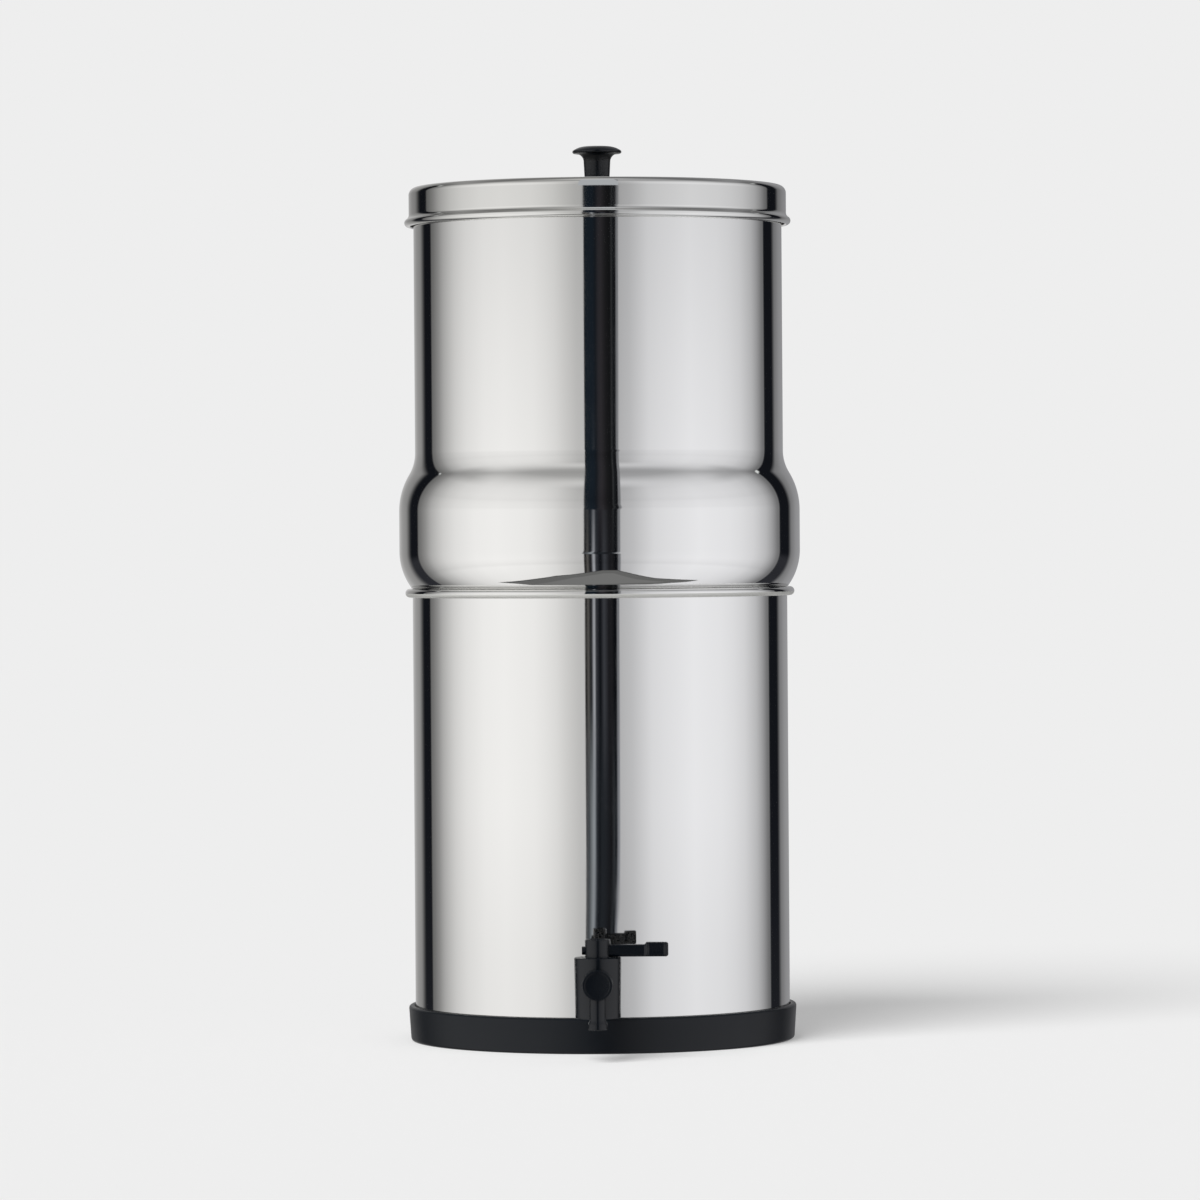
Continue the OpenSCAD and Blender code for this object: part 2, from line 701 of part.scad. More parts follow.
module knob_washer() {
    color(steel) ring(dish_z - lid_t - knob_washer_t, knob_washer_t, knob_washer_r,
                      screw_d / 2 + hole_gap);
}

module knob_screw() {
    under = dish_z - lid_t - knob_washer_t;
    cross = screw_head_r * 1.3;
    cross_w = 1.1;
    cross_depth = screw_head_h * 0.6;
    head_edge = 1;
    color(steel) difference() {
        rotate_extrude() polygon(concat(
            [[0, under - screw_head_h]],
            arc([screw_head_r - head_edge, under - screw_head_h + head_edge], head_edge, -90, 0),
            [[screw_head_r, under], [screw_d / 2, under], [screw_d / 2, under + screw_l],
             [0, under + screw_l]]));
        for (turn = [0, 90])
            rotate([0, 0, turn]) translate([-cross / 2, -cross_w / 2, under - screw_head_h - past])
                cube([cross, cross_w, cross_depth + past]);
    }
}

// ---- Nodes ----------------------------------------------------------------------------------

base_ring();
lower_chamber();
tap_body();
tap_outer_washer();
tap_inner_washer();
tap_nut();
tap_spindle();
spindle_o_rings();
tap_lever();
upper_chamber();
candle_ceramic(180);  // left_candle_ceramic
candle_cap(180);  // left_candle_cap
candle_carbon(180);  // left_candle_carbon
floor_washer(180);  // left_candle_washer
wing_nut(180, white_plastic);  // left_wing_nut
candle_ceramic(0);  // right_candle_ceramic
candle_cap(0);  // right_candle_cap
candle_carbon(0);  // right_candle_carbon
floor_washer(0);  // right_candle_washer
wing_nut(0, white_plastic);  // right_wing_nut
blanking_plug(270);  // front_blanking_plug
floor_washer(270);  // front_plug_washer
wing_nut(270, white_plastic);  // front_plug_nut
blanking_plug(90);  // back_blanking_plug
floor_washer(90);  // back_plug_washer
wing_nut(90, white_plastic);  // back_plug_nut
lid();
lid_knob();
knob_screw();
knob_washer();
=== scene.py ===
"""Looks of a gravity water filter: polished steel chambers and lid, black tap, knob and foot ring.

The object's lengths are written in millimetres and turned to metres by MM where a mesh is made; the
studio's are in metres. The origin is on the chambers' axis, in the plane that the foot ring stands on,
and the tap points along -Y.
"""

import json
import math

import bpy
import numpy as np
from mathutils import Euler, Matrix, Vector


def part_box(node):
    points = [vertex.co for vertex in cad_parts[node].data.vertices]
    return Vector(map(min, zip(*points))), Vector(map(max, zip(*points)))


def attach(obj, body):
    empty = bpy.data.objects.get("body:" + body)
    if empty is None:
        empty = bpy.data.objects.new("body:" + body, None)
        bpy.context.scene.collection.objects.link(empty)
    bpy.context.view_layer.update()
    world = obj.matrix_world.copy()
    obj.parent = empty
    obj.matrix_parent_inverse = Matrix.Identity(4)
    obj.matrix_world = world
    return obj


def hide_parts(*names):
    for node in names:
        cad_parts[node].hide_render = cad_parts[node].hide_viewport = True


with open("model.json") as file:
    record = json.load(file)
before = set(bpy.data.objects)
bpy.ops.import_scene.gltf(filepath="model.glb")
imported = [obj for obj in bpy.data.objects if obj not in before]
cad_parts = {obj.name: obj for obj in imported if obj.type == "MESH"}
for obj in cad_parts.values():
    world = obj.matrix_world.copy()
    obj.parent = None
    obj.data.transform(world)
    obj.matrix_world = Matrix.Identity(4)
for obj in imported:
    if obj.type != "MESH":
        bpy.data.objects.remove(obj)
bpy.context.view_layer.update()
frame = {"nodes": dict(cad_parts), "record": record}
scene = bpy.context.scene

MM = 0.001
UP, RIGHT, FRONT, BACK = (0, 0, 1), (1, 0, 0), (0, -1, 0), (0, 1, 0)

# ---- Sizes, in millimetres ----

SEGMENTS = 288          # steps round a chamber
SMALL_SEGMENTS = 96     # steps round a small turned piece
DRILL_SEGMENTS = 64     # steps round a hole in a sheet
DRILL_START = 2.0       # how far before the sheet a drill starts
WALL_DRILL_L = 8.0
FLOOR_DRILL_L = 6.0
ARC_STEP = 3.0          # degrees between points on a small arc
FINE_STEP = 1.35        # degrees between points on a large arc that mirrors its surroundings

SHEET = 0.8
LOWER_R = 101.0
LOWER_FLOOR = 3.0
LOWER_H = 240.4
LOWER_CORNER_R = 6.0
LOWER_BEAD_R = 2.35
CURL_END = -118.0       # angle at which the rolled rims end

SPIGOT_DEPTH = 16.0     # how far the upper vessel reaches into the lower one
SPIGOT_GAP = 0.7
SPIGOT_CORNER_R = 8.0
RIDGE_R = 1.2           # the ridge that the upper vessel rests on
RIDGE_OUT = 1.1
RIDGE_END = 60.0        # degrees
RIDGE_ROOT_R = 0.5
GROOVE_R = 0.4          # round between the ridge and the belly's foot
BELLY_FOOT_R = 1.5
BELLY_R = 108.0
BELLY_LOW_R = 33.0
BELLY_FOOT_OUT = 1.0
BELLY_BAND = 21.6       # upright part of the belly
SHOULDER_R = 38.5
NECK_R = 99.2
NECK_FILLET_R = 22.5
UPPER_H = 213.8
NECK_BEAD_R = 1.1
LIFT_GAP = 0.3          # play between pieces that come apart

LID_SHEET = 0.7
LID_R = 101.7
LID_H = 21.0
LID_CORNER_R = 4.0
LID_BEAD_R = 2.1
LID_BEAD_OUT = 2.4      # how far the bead stands out from the skirt
LID_FLARE_R = 3.0       # round from the skirt into the bead
DISH_DEPTH = 2.0
DISH_BORDER = 9.0
DISH_BEND_R = 1.2
LID_HOLE_R = 2.75
PANEL_OVER = 0.1        # how far the panel's finish runs into the rounded corner

TAP_Z = 40.4
WALL_HOLE_R = 8.2
HOLE_PITCH_R = 52.0
FLOOR_HOLE_R = 5.5

LOWER_INNER_R = LOWER_R - SHEET
LOWER_RIM_Z = LOWER_FLOOR + LOWER_H
LOWER_BEAD_X = LOWER_INNER_R + LOWER_BEAD_R
LOWER_BEAD_Z = LOWER_RIM_Z - LOWER_BEAD_R
SPIGOT_R = LOWER_INNER_R - SPIGOT_GAP
RIDGE_X = SPIGOT_R + RIDGE_OUT
SEAT_Z = (LOWER_BEAD_Z - RIDGE_R
          + math.sqrt((LOWER_BEAD_R + RIDGE_R + LIFT_GAP) ** 2 - (LOWER_BEAD_X - RIDGE_X) ** 2))
UPPER_FLOOR = SEAT_Z - SPIGOT_DEPTH
NECK_BEAD_Z = SEAT_Z + UPPER_H - NECK_BEAD_R

# ---- Shapes ----


def arc(centre, radius, start, stop, step=ARC_STEP):
    """Points on the circle of this radius about centre, from angle start to angle stop in degrees."""
    count = max(3, math.ceil(abs(stop - start) / step) + 1)
    angle = np.radians(np.linspace(start, stop, count))
    return np.array(centre) + radius * np.stack([np.cos(angle), np.sin(angle)], axis=1)


def angle_to(start, end):
    """Angle in degrees of the line from start to end, above the radius's direction."""
    return math.degrees(math.atan2(end[1] - start[1], end[0] - start[0]))


def circles_meet(a, reach_a, b, reach_b):
    """The right-hand point, seen from a towards b, that lies reach_a from a and reach_b from b."""
    a, b = np.array(a), np.array(b)
    gap = b - a
    length = np.hypot(*gap)
    along = (reach_a ** 2 - reach_b ** 2 + length ** 2) / (2 * length)
    aside = math.sqrt(reach_a ** 2 - along ** 2)
    unit = gap / length
    return a + along * unit + aside * np.array([unit[1], -unit[0]])


def rounded(corners):
    """The path through (x, z, radius) corners, each turned into an arc of that radius that touches
    the two lines beside it; a corner of radius 0 stays sharp."""
    points = [np.array(c[:2], float) for c in corners]
    out = [points[0]]
    for before, here, after, corner in zip(points, points[1:], points[2:], corners[1:]):
        radius = corner[2]
        if not radius:
            out.append(here)
            continue
        u = (before - here) / np.hypot(*(before - here))
        v = (after - here) / np.hypot(*(after - here))
        half = math.acos(float(np.clip(u @ v, -1, 1))) / 2
        first = here + u * radius / math.tan(half)
        last = here + v * radius / math.tan(half)
        middle = here + (u + v) / np.hypot(*(u + v)) * radius / math.sin(half)
        start, stop = angle_to(middle, first), angle_to(middle, last)
        stop = start + (stop - start + 180) % 360 - 180
        out.extend(arc(middle, radius, start, stop, 10))
    out.append(points[-1])
    return np.array(out)


def on_circle(centre, radius, angle):
    """The point at this angle in degrees of the circle of this radius about centre."""
    return arc(centre, radius, angle, angle)[0]


def section_normals(section, closed):
    """Unit normals on the right of the path, each the mean of the two lines beside its point, weighed
    by their lengths, so that a long flat stretch next to an arc stays exactly flat."""
    step = np.diff(np.vstack([section, section[:1]]) if closed else section, axis=0)
    side = np.stack([step[:, 1], -step[:, 0]], axis=1)
    total = np.zeros_like(section)
    total[:len(side)] += side
    total[1:] += side[:len(section) - 1]
    if closed:
        total[0] += side[-1]
    return total / np.maximum(np.hypot(total[:, 0], total[:, 1]), 1e-9)[:, None]


def tube_faces(number):
    """Faces between the rows of a grid of point numbers whose last column meets its first."""
    turn = np.roll(number, -1, axis=1)
    return np.stack([number[:-1], turn[:-1], turn[1:], number[1:]], axis=2).reshape(-1, 4)


def lathe_arrays(section, segments, closed=False, relief=None):
    """Grid of a section (radius, height) turned about an axis: x = r cos a, y = r sin a, z = height.
    Where relief(angle, radius, height) is given, it is added to the radius. Returns points and faces;
    rows on the axis are one point each."""
    section = np.asarray(section, float)
    angle = np.arange(segments) * 2 * math.pi / segments
    radius, height = (np.repeat(values[:, None], segments, axis=1) for values in section.T)
    if relief is not None:
        radius = np.maximum(radius + relief(angle, radius, height), 0)
    grid = np.stack([radius * np.cos(angle), radius * np.sin(angle), height], axis=2)
    kept = (section[:, :1] > 1e-9) | (np.arange(segments) == 0)
    number = np.cumsum(kept).reshape(kept.shape) - 1
    if closed:
        number = np.vstack([number, number[:1]])
    # beside the axis two corners of a face have the same number, and the face keeps one of them
    faces = [list(dict.fromkeys(face)) for face in tube_faces(number).tolist()]
    return grid[kept], [face for face in faces if len(face) > 2]


def lathed(section, origin, axis, segments=SMALL_SEGMENTS, **options):
    """Points and faces of a turned part that starts at origin, in millimetres, and lies along axis."""
    points, faces = lathe_arrays(section, segments, **options)
    w = Vector(axis)
    u = w.orthogonal().normalized()
    return points @ np.array([u, w.cross(u), w]) + np.array(origin), faces


def closed_tube(grid, order=1):
    """Points and faces of a tube through the rows of a grid of points, closed at both ends; order is -1
    where the rows run the other way round, so that the faces still look outwards."""
    number = np.arange(grid[..., 0].size).reshape(grid.shape[:2])
    faces = tube_faces(number).tolist() + [number[0][::-1].tolist(), number[-1].tolist()]
    return grid.reshape(-1, 3), [face[::order] for face in faces]


def linked(name, data):
    """New object of the scene with this data."""
    obj = bpy.data.objects.new(name, data)
    scene.collection.objects.link(obj)
    return obj


def smooth(mesh, sharp_angle):
    """Shades a mesh smoothly, but for edges sharper than this angle in degrees if there is one."""
    mesh.polygons.foreach_set("use_smooth", np.ones(len(mesh.polygons), bool))
    mesh.update()
    if sharp_angle is not None:
        mesh.set_sharp_from_angle(angle=math.radians(sharp_angle))


def make(name, parts, sharp_angle=None):
    """One object from (points, faces) parts in millimetres. Its place is in its mesh."""
    points, faces, count = [], [], 0
    for part_points, part_faces in parts:
        points.append(part_points)
        faces += [[i + count for i in face] for face in part_faces]
        count += len(part_points)
    mesh = bpy.data.meshes.new(name)
    mesh.from_pydata((np.concatenate(points) * MM).tolist(), [], faces)
    smooth(mesh, sharp_angle)
    return linked(name, mesh)


def turned(name, section, segments=SMALL_SEGMENTS, centre=(0.0, 0.0), sharp_angle=30, **options):
    """A piece turned about the vertical through centre."""
    points, faces = lathe_arrays(section, segments, **options)
    return make(name, [(points + np.array([*centre, 0.0]), faces)], sharp_angle)


def follow_section(obj, section, closed):
    """Gives every point of a turned sheet the normal of the section's nearest point, so that a mirror
    finish shows no facets and no trace of the holes. Returns each point's nearest point of the section,
    radius and height."""
    section = np.asarray(section) * MM
    co = np.empty(len(obj.data.vertices) * 3)
    obj.data.vertices.foreach_get("co", co)
    co = co.reshape(-1, 3)
    radius = np.hypot(co[:, 0], co[:, 1])
    nearest = np.empty(len(co), int)
    chunk = 20000       # points compared at a time, to save memory
    for start in range(0, len(co), chunk):
        part = slice(start, start + chunk)
        gap = (radius[part, None] - section[:, 0]) ** 2 + (co[part, 2, None] - section[:, 1]) ** 2
        nearest[part] = gap.argmin(axis=1)
    out, up = section_normals(section, closed)[nearest].T
    out = out / np.maximum(radius, 1e-9)
    normals = np.stack([out * co[:, 0], out * co[:, 1], up], axis=1)
    obj.data.normals_split_custom_set_from_vertices(normals.tolist())
    return nearest, radius / MM, co[:, 2] / MM


def second_finish(obj, chosen):
    """Gives the faces whose points are all chosen the second material."""
    mesh = obj.data
    corner = np.empty(len(mesh.loops), int)
    mesh.loops.foreach_get("vertex_index", corner)
    start = np.empty(len(mesh.polygons), int)
    mesh.polygons.foreach_get("loop_start", start)
    mesh.polygons.foreach_set("material_index",
                              np.logical_and.reduceat(chosen[corner], start).astype(int))


def rod(radius, length):
    """Section of a plain cylinder from height 0 to length."""
    return [[0, 0], [radius, 0], [radius, length], [0, length]]


def combined(name, obj, others, operation):
    """Obj united with, or cut by, each of the other solids, which are used up."""
    for other in others:
        step = obj.modifiers.new("step", "BOOLEAN")
        step.operation = operation
        step.solver = "MANIFOLD"
        step.object = other
    mesh = bpy.data.meshes.new_from_object(obj.evaluated_get(bpy.context.evaluated_depsgraph_get()))
    mesh.materials.clear()
    obj.modifiers.clear()
    obj.data = mesh
    obj.name = mesh.name = name
    for other in others:
        bpy.data.objects.remove(other)
    return obj


def drilled(obj, drills):
    """Cuts round holes, each a (start, axis, radius, length) in millimetres."""
    parts = [lathed(rod(radius, length), start, axis, DRILL_SEGMENTS)
             for start, axis, radius, length in drills]
    return combined(obj.name, obj, [make("drill", parts)], "DIFFERENCE")


def sheet_section(face, thickness, cap_centre, cap_start, cap_turn=180):
    """Closed outline of a sheet: its face, the rounded edge, and back along the face's other side."""
    cap = arc(cap_centre, thickness / 2, cap_start, cap_start + cap_turn, 30)[1:-1]
    return np.vstack([face(0), cap, face(thickness)[::-1]])


def rolled_rim(inner_r, z, bead_r, depth, step=2 * ARC_STEP):
    """Rim rolled outwards over a wall, with its centre at height z, seen at this depth in the sheet."""
    return arc((inner_r + bead_r, z), bead_r - SHEET + depth, 180, CURL_END, step)


def make_vessel(name, face, inner_r, rim_z, bead_r, drills):
    """Steel vessel with holes and a rolled rim, turned from its sheet; below the rim its inside has a
    finish of its own."""
    cap = on_circle((inner_r + bead_r, rim_z), bead_r - SHEET / 2, CURL_END)
    section = sheet_section(face, SHEET, cap, CURL_END + 180)
    obj = drilled(turned(name, section, SEGMENTS, sharp_angle=None), drills)
    nearest, _, height = follow_section(obj, section, False)
    second_finish(obj, (nearest >= len(face(0))) & (height < rim_z))
    return obj


# ---- Steel sheets ----


def lower_face(depth):
    """Tank's section from the middle of its floor up the wall and over the rolled rim."""
    return np.vstack([
        [[0, LOWER_FLOOR + depth]],
        arc((LOWER_R - LOWER_CORNER_R, LOWER_FLOOR + LOWER_CORNER_R), LOWER_CORNER_R - depth,
            -90, 0, FINE_STEP * 2),
        rolled_rim(LOWER_INNER_R, LOWER_BEAD_Z, LOWER_BEAD_R, depth)])


def make_lower_chamber():
    """Tank with the hole for the tap's stem."""
    drill = ((0, -LOWER_R - DRILL_START, TAP_Z), BACK, WALL_HOLE_R, WALL_DRILL_L)
    return make_vessel("lower_chamber_steel", lower_face, LOWER_INNER_R, LOWER_BEAD_Z, LOWER_BEAD_R,
                       [drill])


def hole_at(direction):
    """Centre of the floor hole in this direction, in degrees round from +X."""
    return on_circle((0, 0), HOLE_PITCH_R, direction)


BAND_CENTRE_X = BELLY_R - BELLY_LOW_R
BELLY_FOOT_X = RIDGE_X + RIDGE_R + BELLY_FOOT_OUT
BAND_Z = (SEAT_Z + 2 * RIDGE_R
          + math.sqrt(BELLY_LOW_R ** 2 - (BELLY_FOOT_X - BAND_CENTRE_X) ** 2))
SHOULDER_Z = BAND_Z + BELLY_BAND
SHOULDER_A = math.degrees(math.acos(1 - (BELLY_R - NECK_R) / (SHOULDER_R + NECK_FILLET_R)))
NECK_Z = SHOULDER_Z + (SHOULDER_R + NECK_FILLET_R) * math.sin(math.radians(SHOULDER_A))


def upper_face(depth):
    """Upper vessel's section: floor, spigot, the ridge it rests on, belly, shoulder, neck and rim.
    The ridge leads through a small groove and a small round into the belly, each touching the next."""
    ridge = (RIDGE_X, SEAT_Z + RIDGE_R)
    groove = on_circle(ridge, RIDGE_R + GROOVE_R, RIDGE_END)
    belly = (BAND_CENTRE_X, BAND_Z)
    foot = circles_meet(belly, BELLY_LOW_R - BELLY_FOOT_R, groove, GROOVE_R + BELLY_FOOT_R)
    foot_end = angle_to(belly, foot)
    return np.vstack([
        [[0, UPPER_FLOOR + depth]],
        arc((SPIGOT_R - SPIGOT_CORNER_R, UPPER_FLOOR + SPIGOT_CORNER_R), SPIGOT_CORNER_R - depth,
            -90, 0, 2 * ARC_STEP),
        arc((SPIGOT_R + RIDGE_ROOT_R, SEAT_Z - RIDGE_ROOT_R), RIDGE_ROOT_R + depth, 180, 90, 10),
        arc(ridge, RIDGE_R - depth, -90, RIDGE_END, 8),
        arc(groove, GROOVE_R + depth, RIDGE_END + 180, angle_to(groove, foot) % 360, 10),
        arc(foot, BELLY_FOOT_R - depth, angle_to(foot, groove), foot_end, 8),
        arc(belly, BELLY_LOW_R - depth, foot_end, 0, FINE_STEP),
        arc((BELLY_R - SHOULDER_R, SHOULDER_Z), SHOULDER_R - depth, 0, SHOULDER_A, FINE_STEP),
        arc((NECK_R + NECK_FILLET_R, NECK_Z), NECK_FILLET_R + depth, 180 + SHOULDER_A, 180,
            2 * FINE_STEP),
        rolled_rim(NECK_R - SHEET, NECK_BEAD_Z, NECK_BEAD_R, depth, 4 * ARC_STEP)])


def make_upper_chamber():
    """Upper vessel with the four holes in its floor."""
    drills = [((*hole_at(direction), UPPER_FLOOR - DRILL_START), UP, FLOOR_HOLE_R, FLOOR_DRILL_L)
              for direction in (0, 90, 180, 270)]
    return make_vessel("upper_chamber_steel", upper_face, NECK_R - SHEET, NECK_BEAD_Z, NECK_BEAD_R,
                       drills)


LID_INNER_R = LID_R - LID_SHEET
LID_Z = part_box("lid")[1].z / MM
DISH_Z = LID_Z - DISH_DEPTH
LID_BEAD_X = LID_R + LID_BEAD_OUT - LID_BEAD_R
LID_BEAD_Z = LID_Z - LID_H + LID_BEAD_R
LID_FLARE_A = math.degrees(math.acos((LID_R + LID_FLARE_R - LID_BEAD_X) / (LID_FLARE_R + LID_BEAD_R)))
LID_CURL_END = -180 + math.degrees(math.acos(min((LID_BEAD_X - LID_INNER_R) / LID_BEAD_R, 1)))


def lid_face(depth):
    """Lid's section: dished panel, border, rounded corner, skirt, flare and the bead turned under."""
    dish_r = LID_R - LID_CORNER_R - DISH_BORDER
    flare_z = LID_BEAD_Z + (LID_FLARE_R + LID_BEAD_R) * math.sin(math.radians(LID_FLARE_A))
    return np.vstack([
        [[LID_HOLE_R, DISH_Z - depth]],
        arc((dish_r - DISH_BEND_R, DISH_Z + DISH_BEND_R), DISH_BEND_R + depth, -90, -45),
        arc((dish_r + DISH_BEND_R, LID_Z - DISH_BEND_R), DISH_BEND_R - depth, 135, 90),
        arc((LID_R - LID_CORNER_R, LID_Z - LID_CORNER_R), LID_CORNER_R - depth, 90, 0, FINE_STEP * 2),
        arc((LID_R + LID_FLARE_R, flare_z), LID_FLARE_R + depth, 180, 180 + LID_FLARE_A, FINE_STEP * 2),
        arc((LID_BEAD_X, LID_BEAD_Z), LID_BEAD_R - depth, LID_FLARE_A, LID_CURL_END)])


def make_lid():
    """Lid turned from its sheet; its top panel has a finish of its own."""
    cap = on_circle((LID_BEAD_X, LID_BEAD_Z), LID_BEAD_R - LID_SHEET / 2, LID_CURL_END)
    section = sheet_section(lid_face, LID_SHEET, cap, LID_CURL_END, -180)[::-1]
    obj = turned("lid_steel", section, SEGMENTS, sharp_angle=None, closed=True)
    _, radius, _ = follow_section(obj, section, True)
    second_finish(obj, radius < LID_R - LID_CORNER_R + PANEL_OVER)
    return obj


# ---- Ring and knob ----

RING_H = 18.9
RING_WALL = 3.3
RING_FLOOR = 3.0
RING_FLANGE = 24.0
RING_LEAN = 1.2         # how much narrower the ring is at its foot
RING_EDGE_R = 1.8
RING_LIP_R = 1.5
RING_GROOVE_PITCH = 6.0
RING_GROOVE_W = 2.0
RING_GROOVE_DEPTH = 0.8


def make_base_ring():
    """Rubber ring with an L-shaped section: a leaning wall round the tank and a flange below it, which
    has two grooves underneath."""
    bore_r = LOWER_R + LIFT_GAP
    top_r = bore_r + RING_WALL
    flange_r = bore_r - RING_FLANGE
    middle = RING_FLOOR / 2
    outline = [(flange_r, middle, 0), (flange_r, 0, 0.4)]
    for r in (flange_r + RING_GROOVE_PITCH, flange_r + 2 * RING_GROOVE_PITCH):
        outline += [(r, 0, 0.2), (r, RING_GROOVE_DEPTH, 0.2), (r + RING_GROOVE_W, RING_GROOVE_DEPTH, 0.2),
                    (r + RING_GROOVE_W, 0, 0.2)]
    outline += [(top_r - RING_LEAN, 0, RING_EDGE_R), (top_r, RING_H, RING_LIP_R), (bore_r, RING_H, 0.6),
                (bore_r, RING_FLOOR, 0.5), (flange_r, RING_FLOOR, 0.4), (flange_r, middle, 0)]
    return turned("base_ring_rubber", rounded(outline)[:-1], SEGMENTS, closed=True)


KNOB_H = 23.9           # from the dished panel up
KNOB_CAP_R = 13.25
KNOB_CAP_T = 3.9
KNOB_EDGE_R = 0.95
KNOB_FLAT_R = 6.0       # flat middle of the cap's top
KNOB_FOOT_R = 6.4
KNOB_NECK_R = 7.2       # where the neck meets the flare
KNOB_FLARE_R = 4.3
KNOB_BORE_R = 2.55
KNOB_BORE_L = 13.8


def make_lid_knob():
    """Knob whose neck widens upwards and flares into a thin cap. The cap's top is an arc that leaves its
    flat middle level and runs into the edge's rounding: with w and h the level and upright distance
    between the two arcs' centres and e the edge's radius, R = (w^2 + h^2 - e^2) / (2 (h - e))."""
    top = DISH_Z + KNOB_H
    under = top - KNOB_CAP_T
    across, down = KNOB_CAP_R - KNOB_EDGE_R - KNOB_FLAT_R, KNOB_CAP_T - KNOB_EDGE_R
    crown_r = (across ** 2 + down ** 2 - KNOB_EDGE_R ** 2) / (2 * (down - KNOB_EDGE_R))
    crown_a = math.degrees(math.atan2(crown_r - down, across))
    outline = np.vstack([
        [[0, DISH_Z + KNOB_BORE_L], [KNOB_BORE_R, DISH_Z + KNOB_BORE_L]],
        rounded([(KNOB_BORE_R, DISH_Z + 1, 0), (KNOB_BORE_R, DISH_Z, 0.3), (KNOB_FOOT_R, DISH_Z, 0.3),
                 (KNOB_NECK_R, under - KNOB_FLARE_R, 0)])[:-1],
        arc((KNOB_NECK_R + KNOB_FLARE_R, under - KNOB_FLARE_R), KNOB_FLARE_R, 180, 90, 5),
        arc((KNOB_CAP_R - KNOB_EDGE_R, under + KNOB_EDGE_R), KNOB_EDGE_R, -90, crown_a, 8),
        arc((KNOB_FLAT_R, top - crown_r), crown_r, crown_a, 90, 2)[1:],
        [[0, top]]])
    return turned("lid_knob_plastic", outline, sharp_angle=40)


# ---- Tap ----

BARREL_Y = -144.0
BARREL_R = 12.25
BARREL_TAPER = 0.5      # how much narrower the barrel is at its foot
BARREL_TOP = TAP_Z + 13.3
BARREL_BOTTOM = TAP_Z - 18
PLUG_R = 8.0
PLUG_BOTTOM = BARREL_BOTTOM + 3.4
TAIL_R = 2.8
TAIL_H = 2.0            # of the tail's lip under the barrel
TAIL_LIP = 0.9
SPOUT_R = 7.95
SPOUT_REACH = 19.5
SPOUT_RIM = 1.4
NOZZLE_R = 4.2
NOZZLE_LIP_R = 5.2
NOZZLE_LIP_H = 3.0
NOZZLE_CONE_H = 1.6
NOZZLE_BORE_R = 3.2
NOZZLE_Z = 17.4
NOZZLE_Y = BARREL_Y - SPOUT_REACH + NOZZLE_LIP_R
STEM_R = 7.9
STEM_BORE_R = 4.0
STEM_END_Y = -86.2
STEM_PITCH = 2.0
STEM_CHAMFER = 0.8
PLAY = 0.05             # between a bore and what turns or sits in it
SUNK = 0.5              # how far the spout's front and the hub's top are sunk within their rims
STEM_THREAD_DEPTH = 0.9
STEM_THREAD_START = 0.5     # from the washer
TAP_NUT_AF = 24.0
TAP_NUT_L = 7.0
TAP_NUT_EDGE = 0.4      # how far the turned corners' cone stays outside the flats at the end
TAP_NUT_TURNED = 2.2    # length of the nut that the cone can reach
TAP_NUT_Y = -97.2
TAP_WASHER_R = 10.95
O_RING_R = 0.89
O_RING_CENTRE_R = 7.06
O_RING_LEVELS = (PLUG_BOTTOM + 2.6, BARREL_TOP - 3)
WASHER_Y = -(LOWER_R + 3.0)
FLANGE_R = 11.25
FLANGE_T = 3.5
PLUG_BORE_R = 3.6
HUB_R = 6.6
HUB_TOP = BARREL_TOP + 9.4
HUB_RIM = 1.9
LEVER_LOW = BARREL_TOP + 0.35
LEVER_REACH = 36.5
LEVER_T = 5.4
ARM_H = 6.3
PADDLE_H = 7.5
PADDLE_L = 11.5
LEVER_DENT = 0.35       # depth of the groove before the paddle and of its hollows
PIN_Z = LEVER_LOW + ARM_H / 2
PIN_R = 2.15
PIN_L = 16.0
BORE_L = 40.0           # long enough to pass through the spindle
PLUG_DRILL_L = 50.0     # long enough to leave the barrel through its top
TAIL_DRILL_L = 9.0      # long enough to pass from below the barrel into the plug's bore
SMOOTH_TO = 28          # degrees between two faces of the tap, above which their edge is sharp


def thread(pitch, depth, start, end):
    """Relief of a screw thread between two heights: a triangle wave that runs once round per pitch,
    and fades out over half a pitch at its ends."""
    def relief(angle, radius, height):
        turn = (height - start) / pitch - angle / (2 * math.pi)
        wave = np.abs(2 * (turn - np.floor(turn)) - 1)
        fade = np.clip(np.minimum(height - start, end - height) / (pitch / 2), 0, 1)
        return -depth * wave * fade
    return relief


def thread_rows(radius, pitch, start, end):
    """Points up a threaded stem, ten to a turn of the thread."""
    rows = np.arange(start, end, pitch / 10)
    return np.stack([0 * rows + radius, rows], axis=1)


def solid(section, origin, axis, **options):
    """Closed turned piece that starts at origin along axis, to be joined to others or cut from them."""
    return make("part", [lathed(section, origin, axis, **options)])


def sunk_end(radius, z, edge_r, rim):
    """Corners of a round end that lies a little lower within its rim."""
    return [(radius, z, edge_r), (radius - rim, z, 0.2), (radius - rim - 0.2, z - SUNK, 0.2),
            (0, z - SUNK, 0)]


